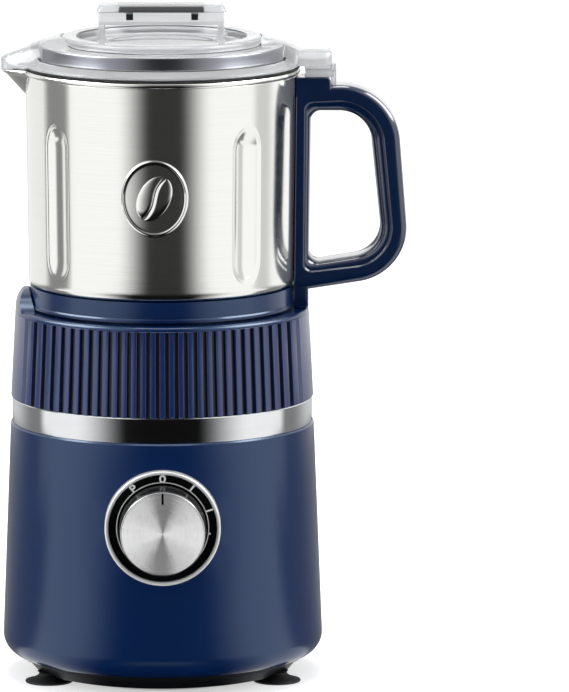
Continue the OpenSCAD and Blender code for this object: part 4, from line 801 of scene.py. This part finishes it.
def clear(name):
    """Slightly milky clear plastic with a faint cool tone and slight flow marks in its gloss.
    Painted shade puts thin near-black rings in its colour where the lid's steps turn and at its lower edge,
    and makes the tab a little grey."""
    finish = Finish(name)
    flow = finish.noise((30, 30, 90), 3.0)
    across, level = finish.off_axis(), finish.axis("Z")
    # Painted shade: a little grey over the tab, then near-black rings at the steps' turns and the lower
    # edge, each below a given height.
    painted_shade = 0.15 * finish.ramp(finish.axis("X"), 51 * mm, 56 * mm)
    for turn_r, half, top in ((33.9, 0.25, 12.6), (40.8, 0.35, 9.7), (50.15, 0.6, 4.2), (54.7, 0.45, 0.3)):
        away = across.math("ABSOLUTE", across - turn_r * mm, 0.0)
        over = finish.ramp(level, (lid_z + top) * mm, (lid_z + top + 0.3) * mm)
        painted_shade = painted_shade + (1.0 - finish.ramp(away, 0.6 * half * mm, half * mm)) * (1.0 - over)
    milk = finish.blend(flow, (0.90, 0.915, 0.93, 1), (0.94, 0.95, 0.96, 1))
    return finish.surface({
        "Base Color": finish.blend(painted_shade, milk, (0.03, 0.032, 0.036, 1)),
        "Roughness": 0.02 + flow * 0.04,
        "IOR": 1.40,
        "Transmission Weight": 0.66,
    })


clear_plastic = clear("clear_plastic")


def arc_line(x, y, r, start, end, count=10):
    """Part of a circle about a point, between two angles in degrees."""
    turn = np.radians(np.linspace(start, end, count))
    return np.stack([x + r * np.cos(turn), y + r * np.sin(turn)], axis=1)


def lid_grid(columns=384):
    """Closed profile turned about Z, from the middle of the sunken disc out over both steps to the
    edge, back under it and round the plug. Towards -X the skirt is stretched into the beak: its
    edge moves out along a rounded V and its height blends into a sloping roof. Towards +X its
    height blends into a gentler slope that leads to the tab."""
    edge_r, beak_proud, beak_lean, beak_tip = 54.8, 9.0, 0.85, 4.0
    roof_high, roof_low, roof_in, roof_out = 11.7, 3.2, 43.0, 65.8
    tab_half, tab_blend, tab_fall, far_side = 12.5, 5.0, 0.42, 60.0
    top = np.concatenate([
        [[0, 9.0], [20, 9.0], [32.7, 9.0], [33.0, 9.15]],
        arc_line(34.5, 11.1, 0.9, 180, 90, 8),
        [[38.4, 12.0]],
        arc_line(38.5, 10.5, 1.5, 90, 0),
        arc_line(41.4, 10.2, 1.4, 180, 264, 8),
        [[44.5, 8.75]],
        arc_line(48.0, 7.75, 0.9, 80, 8, 9),
        [[49.35, 4.2], [49.5, 3.6], [49.8, 3.45]],
    ])
    skirt = np.stack([np.linspace(50.2, 54.3, 14), np.linspace(3.5, 1.45, 14)], axis=1)
    edge = np.array([[54.6, 1.25], [edge_r, 0.95], [edge_r, 0.1], [54.7, 0],
                     [53.3, 0], [53.1, 0], [52.2, 0], [51.4, 0]])
    under = np.array([[51.2, -0.1], [51.2, 0.2 - plug_deep], [51.0, -plug_deep], [49.4, -plug_deep],
                      [49.2, 0.2 - plug_deep], [49.2, 0.6], [46.5, 5.4], [38, 6.8], [33, 7.0], [0, 7.0]])
    profile = np.concatenate([top, skirt, edge, under])
    line_r, line_z = profile[:, :1], profile[:, 1:]
    still = np.zeros(len(under))
    edge_reach = [0.96, 1, 1, 1, 0.82, 0.78, 0.4, 0]
    reach = np.concatenate([0 * top[:, 0], np.linspace(0.09, 0.9, 14), edge_reach, still])[:, None]
    # In the beak, points of kind 0 keep their height, 1 go to the roof, 2 to its edge, 3 to the lip
    # and 4 to the ceiling under the roof.
    kind = np.concatenate([top[:, 0] > 40.05, np.ones(14), [2, 2, 3, 3, 3, 4, 4, 4], still])[:, None]
    turn = np.linspace(0, 2 * math.pi, columns, endpoint=False)[None, :]
    off = turn - math.pi
    y = edge_r * np.sin(np.clip(off, -1.3, 1.3))
    beak = np.maximum(beak_proud - beak_lean * (np.hypot(y, beak_tip) - beak_tip), 0)
    radius = line_r + reach * beak
    aside = np.abs(radius * np.sin(off)) + far_side * (np.cos(off) < 0)
    half = 5.5 + 0.45 * (63.0 - radius * np.cos(off))
    share = smooth((1.3 * half - aside) / (0.8 * half))
    slope = (roof_high - roof_low) / (roof_out - roof_in)
    roof = np.minimum(roof_low + (roof_out - radius) * slope, roof_high)
    aim = np.select([kind == 1, kind == 2, kind == 3, kind == 4],
                    [roof, roof - 0.5, -1.4 + 0 * roof, roof - 2.2], line_z + 0 * roof)
    height = line_z + share * (aim - line_z)
    beside = np.abs(radius * np.sin(turn)) + far_side * (np.cos(turn) < 0)
    share = smooth((tab_half - beside) / tab_blend) * (np.abs(kind - 1.5) < 1)
    ramp = np.minimum(roof_high - (radius - roof_in) * tab_fall, roof_high) - 0.4 * (kind - 1)
    height = height + share * (ramp - height)
    return np.stack([radius * np.cos(turn), radius * np.sin(turn), height + lid_z], axis=-1) * mm


def rounded_block(width, depth, corner, levels, x=0.0, y=0.0):
    """Block with rounded upright corners: its plan is carried up through levels of height and inset."""
    turn = np.linspace(0, 2 * math.pi, 96, endpoint=False) + 1e-4
    grid_x = np.sign(np.cos(turn)) * (width / 2 - corner) + corner * np.cos(turn)
    grid_y = np.sign(np.sin(turn)) * (depth / 2 - corner) + corner * np.sin(turn)
    levels = np.asarray(levels, float)
    x_scale = np.maximum(1 - levels[:, 1] / (width / 2), 0)
    y_scale = np.maximum(1 - levels[:, 1] / (depth / 2), 0)
    return np.stack([np.outer(x_scale, grid_x) + x, np.outer(y_scale, grid_y) + y,
                     np.outer(levels[:, 0], np.ones(len(turn)))], axis=-1) * mm


tab_low, tab_high, latch_low, latch_high, hook_low, hook_high = 245.8, 251.8, 241.5, 244.5, 236.6, 246.5
tab_levels = [[tab_low, closed_up], [tab_low, 0.4], [tab_low + 0.4, 0], [tab_high - 0.9, 0.3],
              [tab_high - 0.4, 0.55], [tab_high, 1.2], [tab_high, closed_up]]
tab = rounded_block(16.4, 20, 4, tab_levels, 59.7)
latch_levels = [[latch_low, closed_up], [latch_low, 0.3], [latch_low + 0.3, 0],
                [latch_high - 0.3, 0], [latch_high, 0.3], [latch_high, closed_up]]
latch = [rounded_block(11.2, 3.6, 0.8, latch_levels, 62.7, y) for y in (-7.5, 7.5)]
hook_levels = [[hook_low, closed_up], [hook_low, 0.6], [hook_low + 0.6, 0],
               [hook_high, 0], [hook_high, closed_up]]
hook = rounded_block(2.0, 5, 0.9, hook_levels, 68.4, -5.5)
lid_shells = [(grid, False, True) for grid in [lid_grid(), tab, hook] + latch]
lid = mesh_of("clear_lid", lid_shells, 35.0)
piece("clear_lid", lid, clear_plastic, "lid", "clear_lid", "lid_shell")
# Painted shade: a deep grey mirror ring along the wall of the lid's lower step stands for the shade seen
# through that clear wall.
shade_ring_line = np.concatenate([
    arc_line(48.0, 7.85, 0.95, 40, 10, 6),
    [[49.05, 7.2], [49.4, 4.3], [49.55, 3.75], [49.2, 3.75], [48.6, 7.4], [48.4, 7.9]],
])
shade_ring_grid = lathe(shade_ring_line[:, 0], shade_ring_line[:, 1] + lid_z)
shade_ring = mesh_of("lid_shade_ring", [(shade_ring_grid, True, True)], 50.0)
shade_ring_finish = plated("shade_ring_plate", 122, 124, 130, 0.27, (30, 30, 400), 0.0)
piece("lid_shade_ring", shade_ring, shade_ring_finish, "lid", "bright_trim")
# Painted shadow: a thin black rubber ring under the lid's edge stands for the shadow gap between the lid
# and the cup's rim.
gap_shade_r = np.array([53.4, 55.05, 55.05, 53.4])
lip_z = lid_z - np.array([0.42, 0.42, 0.03, 0.03])
piece("lid_gap_shade", mesh_of("lid_gap_shade", [(lathe(gap_shade_r, lip_z), True, True)]), rubber, "lid", "black_rubber")

# Lid grip
# Clear bridge on the sunken disc: two upright walls on spread feet, an under-plate, and a thick cap
# with a smoky inlay. Two small screws hold the cap from below.

disc_z, cap_top = cad_span("lid_grip", "z")[0] + 0.02, cad_span("lid_grip_cap", "z")[1]
plate_z, cap_z, screw_z = 262.0, 267.1, 264.0
wall_levels = [[disc_z, closed_up], [disc_z, -1.0], [disc_z + 0.9, -0.9], [disc_z + 1.8, -0.1],
               [disc_z + 2.4, 0], [plate_z - 0.05, 0], [plate_z - 0.05, closed_up]]
walls = [rounded_block(2.6, 14, 0.8, wall_levels, x) for x in (-23.7, 23.7)]
plate_levels = [[plate_z, closed_up], [plate_z, 0.1], [plate_z + 0.1, 0],
                [cap_z - 0.05, 0], [cap_z - 0.05, closed_up]]
plate = rounded_block(50, 14, 1.0, plate_levels)
bridge = mesh_of("lid_bridge", [(grid, False, True) for grid in walls + [plate]], 35.0)
piece("lid_bridge", bridge, clear_plastic, "lid", "clear_lid", "lid_grip")
cap_levels = [[cap_z, closed_up], [cap_z, 0.35], [cap_z + 0.35, 0], [cap_top - 0.8, 0.6],
              [cap_top - 0.3, 0.9], [cap_top, 1.6], [cap_top, closed_up]]
cap = mesh_of("lid_cap", [(rounded_block(51.4, 17, 2.4, cap_levels), False, True)], 35.0)
piece("lid_cap", cap, clear_plastic, "lid", "clear_lid", "lid_grip_cap")
inlay_levels = [[cap_z + 0.1, closed_up], [cap_z + 0.1, 0.25], [cap_z + 0.35, 0], [cap_top - 0.8, 0.3],
                [cap_top - 0.35, 0.7], [cap_top - 0.35, closed_up]]
smoke = moulded("smoky_inlay", 74, 74, 76, 0.25, 0.5, 0.004)
inlay = mesh_of("cap_inlay", [(rounded_block(34.4, 17.3, 0.6, inlay_levels), False, True)], 35.0)
piece("cap_inlay", inlay, smoke, "lid", "black_plastic")
screw_levels = [[screw_z, closed_up], [screw_z, 0.1], [screw_z + 0.1, 0],
                [screw_z + 2.4, 0], [screw_z + 2.4, closed_up]]
screws = [rounded_block(2.8, 14.3, 0.3, screw_levels, x) for x in (-12.6, 13.2)]
dark_steel = plated("dark_screws", 74, 76, 80, 0.35, (900, 900, 900), 0.01)
screw_mesh = mesh_of("grip_screws", [(grid, False, True) for grid in screws], 35.0)
piece("grip_screws", screw_mesh, dark_steel, "lid", "zinc_steel", "lid_grip_screws")

# Studio
# Plain pale floor, soft boxes at both sides and above, a light tent that only reflections see, and
# the camera at the photo's height and angle.

scene = bpy.context.scene
scene.view_settings.view_transform = "Standard"


def seen_by_eye(finish):
    """1 for what the camera sees, straight, in a reflection or through clear plastic, and 0 for the
    light that only falls on the pieces."""
    seen = finish.node("ShaderNodeLightPath", {}, {}, "Is Camera Ray")
    for other in ("Is Glossy Ray", "Is Transmission Ray"):
        seen = seen.math("MAXIMUM", seen, finish.node("ShaderNodeLightPath", {}, {}, other))
    return seen


def pale_floor():
    """Pale paint, made up to the white background for what the camera and the reflections see, apart
    from the round patch right under the grinder, which stays in its shade."""
    finish = Finish("pale_floor")
    open_floor = finish.ramp(finish.off_axis(), 35 * mm, 42 * mm)
    return finish.surface({
        "Base Color": finish.blend(finish.noise((3, 3, 3)), (0.80, 0.80, 0.80, 1), (0.82, 0.82, 0.82, 1)),
        "Roughness": 0.9,
        "Specular IOR Level": 0.0,
        "Emission Color": finish.blend(seen_by_eye(finish) * open_floor, (0, 0, 0, 1), (1, 1, 1, 1)),
        "Emission Strength": 0.56,
    })


def tent_cloth():
    """Light tent that only reflections see, by the angle round from the front: black in front, bright
    soft boxes at both sides, grey behind them, bright and then black at the back. Low down, it all
    lies further round. On the right the grey is paler, above the cup the back is bright, and a bright
    strip runs along the soft boxes' upper half. High up it is never quite black, and the floor before
    the knob glows dimly."""
    finish = Finish("tent_cloth")
    across, ahead, level = finish.axis("X"), finish.axis("Y") * -1.0, finish.axis("Z")
    side = across.math("ABSOLUTE", across, 0.0)
    turn = side.math("ARCTAN2", side, ahead) * (180 / math.pi)
    high = finish.ramp(level, 0.05, 0.085)
    crown = finish.ramp(level, 0.19, 0.22)
    right = finish.ramp(across, 0.0, 0.05) * high
    beside_band = finish.ramp(level, 0.02, 0.027) - high
    ground = 1.0 - finish.ramp(level, 0.001, 0.004)
    front = finish.ramp(turn, 25.0 - 16.0 * high + 5.0 * right,
                        68.0 - 30.0 * high + 5.0 * right - 8.0 * ground)
    grey = finish.ramp(turn, 84.0 - 6.0 * high + 12.0 * beside_band, 93.0 - 6.0 * high + 12.0 * beside_band)
    behind = finish.ramp(turn, 112.0 - 6.0 * high - 10.0 * right, 145.0 - 27.0 * high - 10.0 * right)
    behind = behind * (0.12 + 0.3 * beside_band + 0.6 * high - 0.3 * right)
    back = finish.ramp(turn, 160.0, 172.0) * (0.9 - 1.0 * crown)
    dim = 0.006 + 0.034 * high + 0.24 * finish.ramp(level, 0.45, 0.6)
    out = side * side + ahead * ahead
    near = 0.3 * ground * finish.ramp(out, 0.0052, 0.0085) * (1.0 - finish.ramp(out, 0.0095, 0.017))
    near = near * (1.0 - finish.ramp(side, 0.012, 0.04))
    glow = dim + near + front * 1.13 - grey * (0.88 - 0.45 * right) + behind - back
    strip = finish.ramp(turn, 55.0, 62.0) * (1.0 - finish.ramp(turn, 105.0, 112.0))
    strip = strip * finish.ramp(level, 0.33, 0.38)
    return finish.surface({
        "Base Color": (0, 0, 0, 1),
        "Roughness": 1.0,
        "Specular IOR Level": 0.0,
        "Emission Color": finish.blend((glow + strip * 9.0) / 12.0, (0, 0, 0, 1), (1, 1, 1, 1)),
        "Emission Strength": 12.0,
    })


def sheet(name, grid, round_about, material):
    """Sheet of the studio, which is no part of the grinder."""
    made = bpy.data.objects.new(name, mesh_of(name, [(grid, False, round_about)]))
    scene.collection.objects.link(made)
    made.data.materials.append(material)
    return made


floor_x, floor_y = np.meshgrid(np.linspace(-6, 6, 9), np.linspace(-6, 6, 9))
sheet("floor", np.stack([floor_x, floor_y, 0 * floor_x], axis=-1), False, pale_floor())
tent_grid = lathe(np.array([40, 80, 300, 500, 500, 500]), np.array([0.6, 0.6, 0.6, 0.6, 400, 900]), 96)
tent = sheet("tent", tent_grid, True, tent_cloth())
tent.visible_camera = False
tent.visible_diffuse = False
tent.visible_shadow = False
tent.visible_transmission = False

sky = Finish("studio", bpy.data.worlds)
sky_glow = sky.node("ShaderNodeBackground", {}, {"Strength": 0.75 + 0.25 * seen_by_eye(sky)})
sky.node("ShaderNodeOutputWorld", {}, {"Surface": sky_glow})
scene.world = sky.owner


def soft_box(name, place, aim, size, watts, mirrored):
    """Rectangular lamp at a place, turned to an aim. Reflections show it only if it is mirrored."""
    lamp = bpy.data.lights.new(name, "AREA")
    lamp.shape = "RECTANGLE"
    lamp.size, lamp.size_y = size
    lamp.energy = watts
    made = bpy.data.objects.new(name, lamp)
    made.location = place
    made.rotation_euler = (Vector(aim) - Vector(place)).to_track_quat("-Z", "Y").to_euler()
    scene.collection.objects.link(made)
    made.visible_glossy = mirrored


soft_box("box_left", (-1.3, -0.5, 0.7), (0, 0, 0.12), (0.9, 1.4), 8.0, False)
soft_box("box_right", (1.4, -0.4, 0.7), (0, 0, 0.12), (0.9, 1.4), 7.5, False)
soft_box("box_top", (0, 0.1, 1.7), (0, 0, 0.1), (0.7, 0.7), 11.0, True)

camera = bpy.data.objects.new("camera", bpy.data.cameras.new("camera"))
scene.collection.objects.link(camera)
scene.camera = camera
aim = Vector((0.0489, 0.0, 0.132))
camera.location = (0.0, -3.16, 0.633)
camera.rotation_euler = (aim - camera.location).to_track_quat("-Z", "Y").to_euler()
camera.data.sensor_width = 36.0
camera.data.lens = 416.2
camera.data.clip_end = 50.0
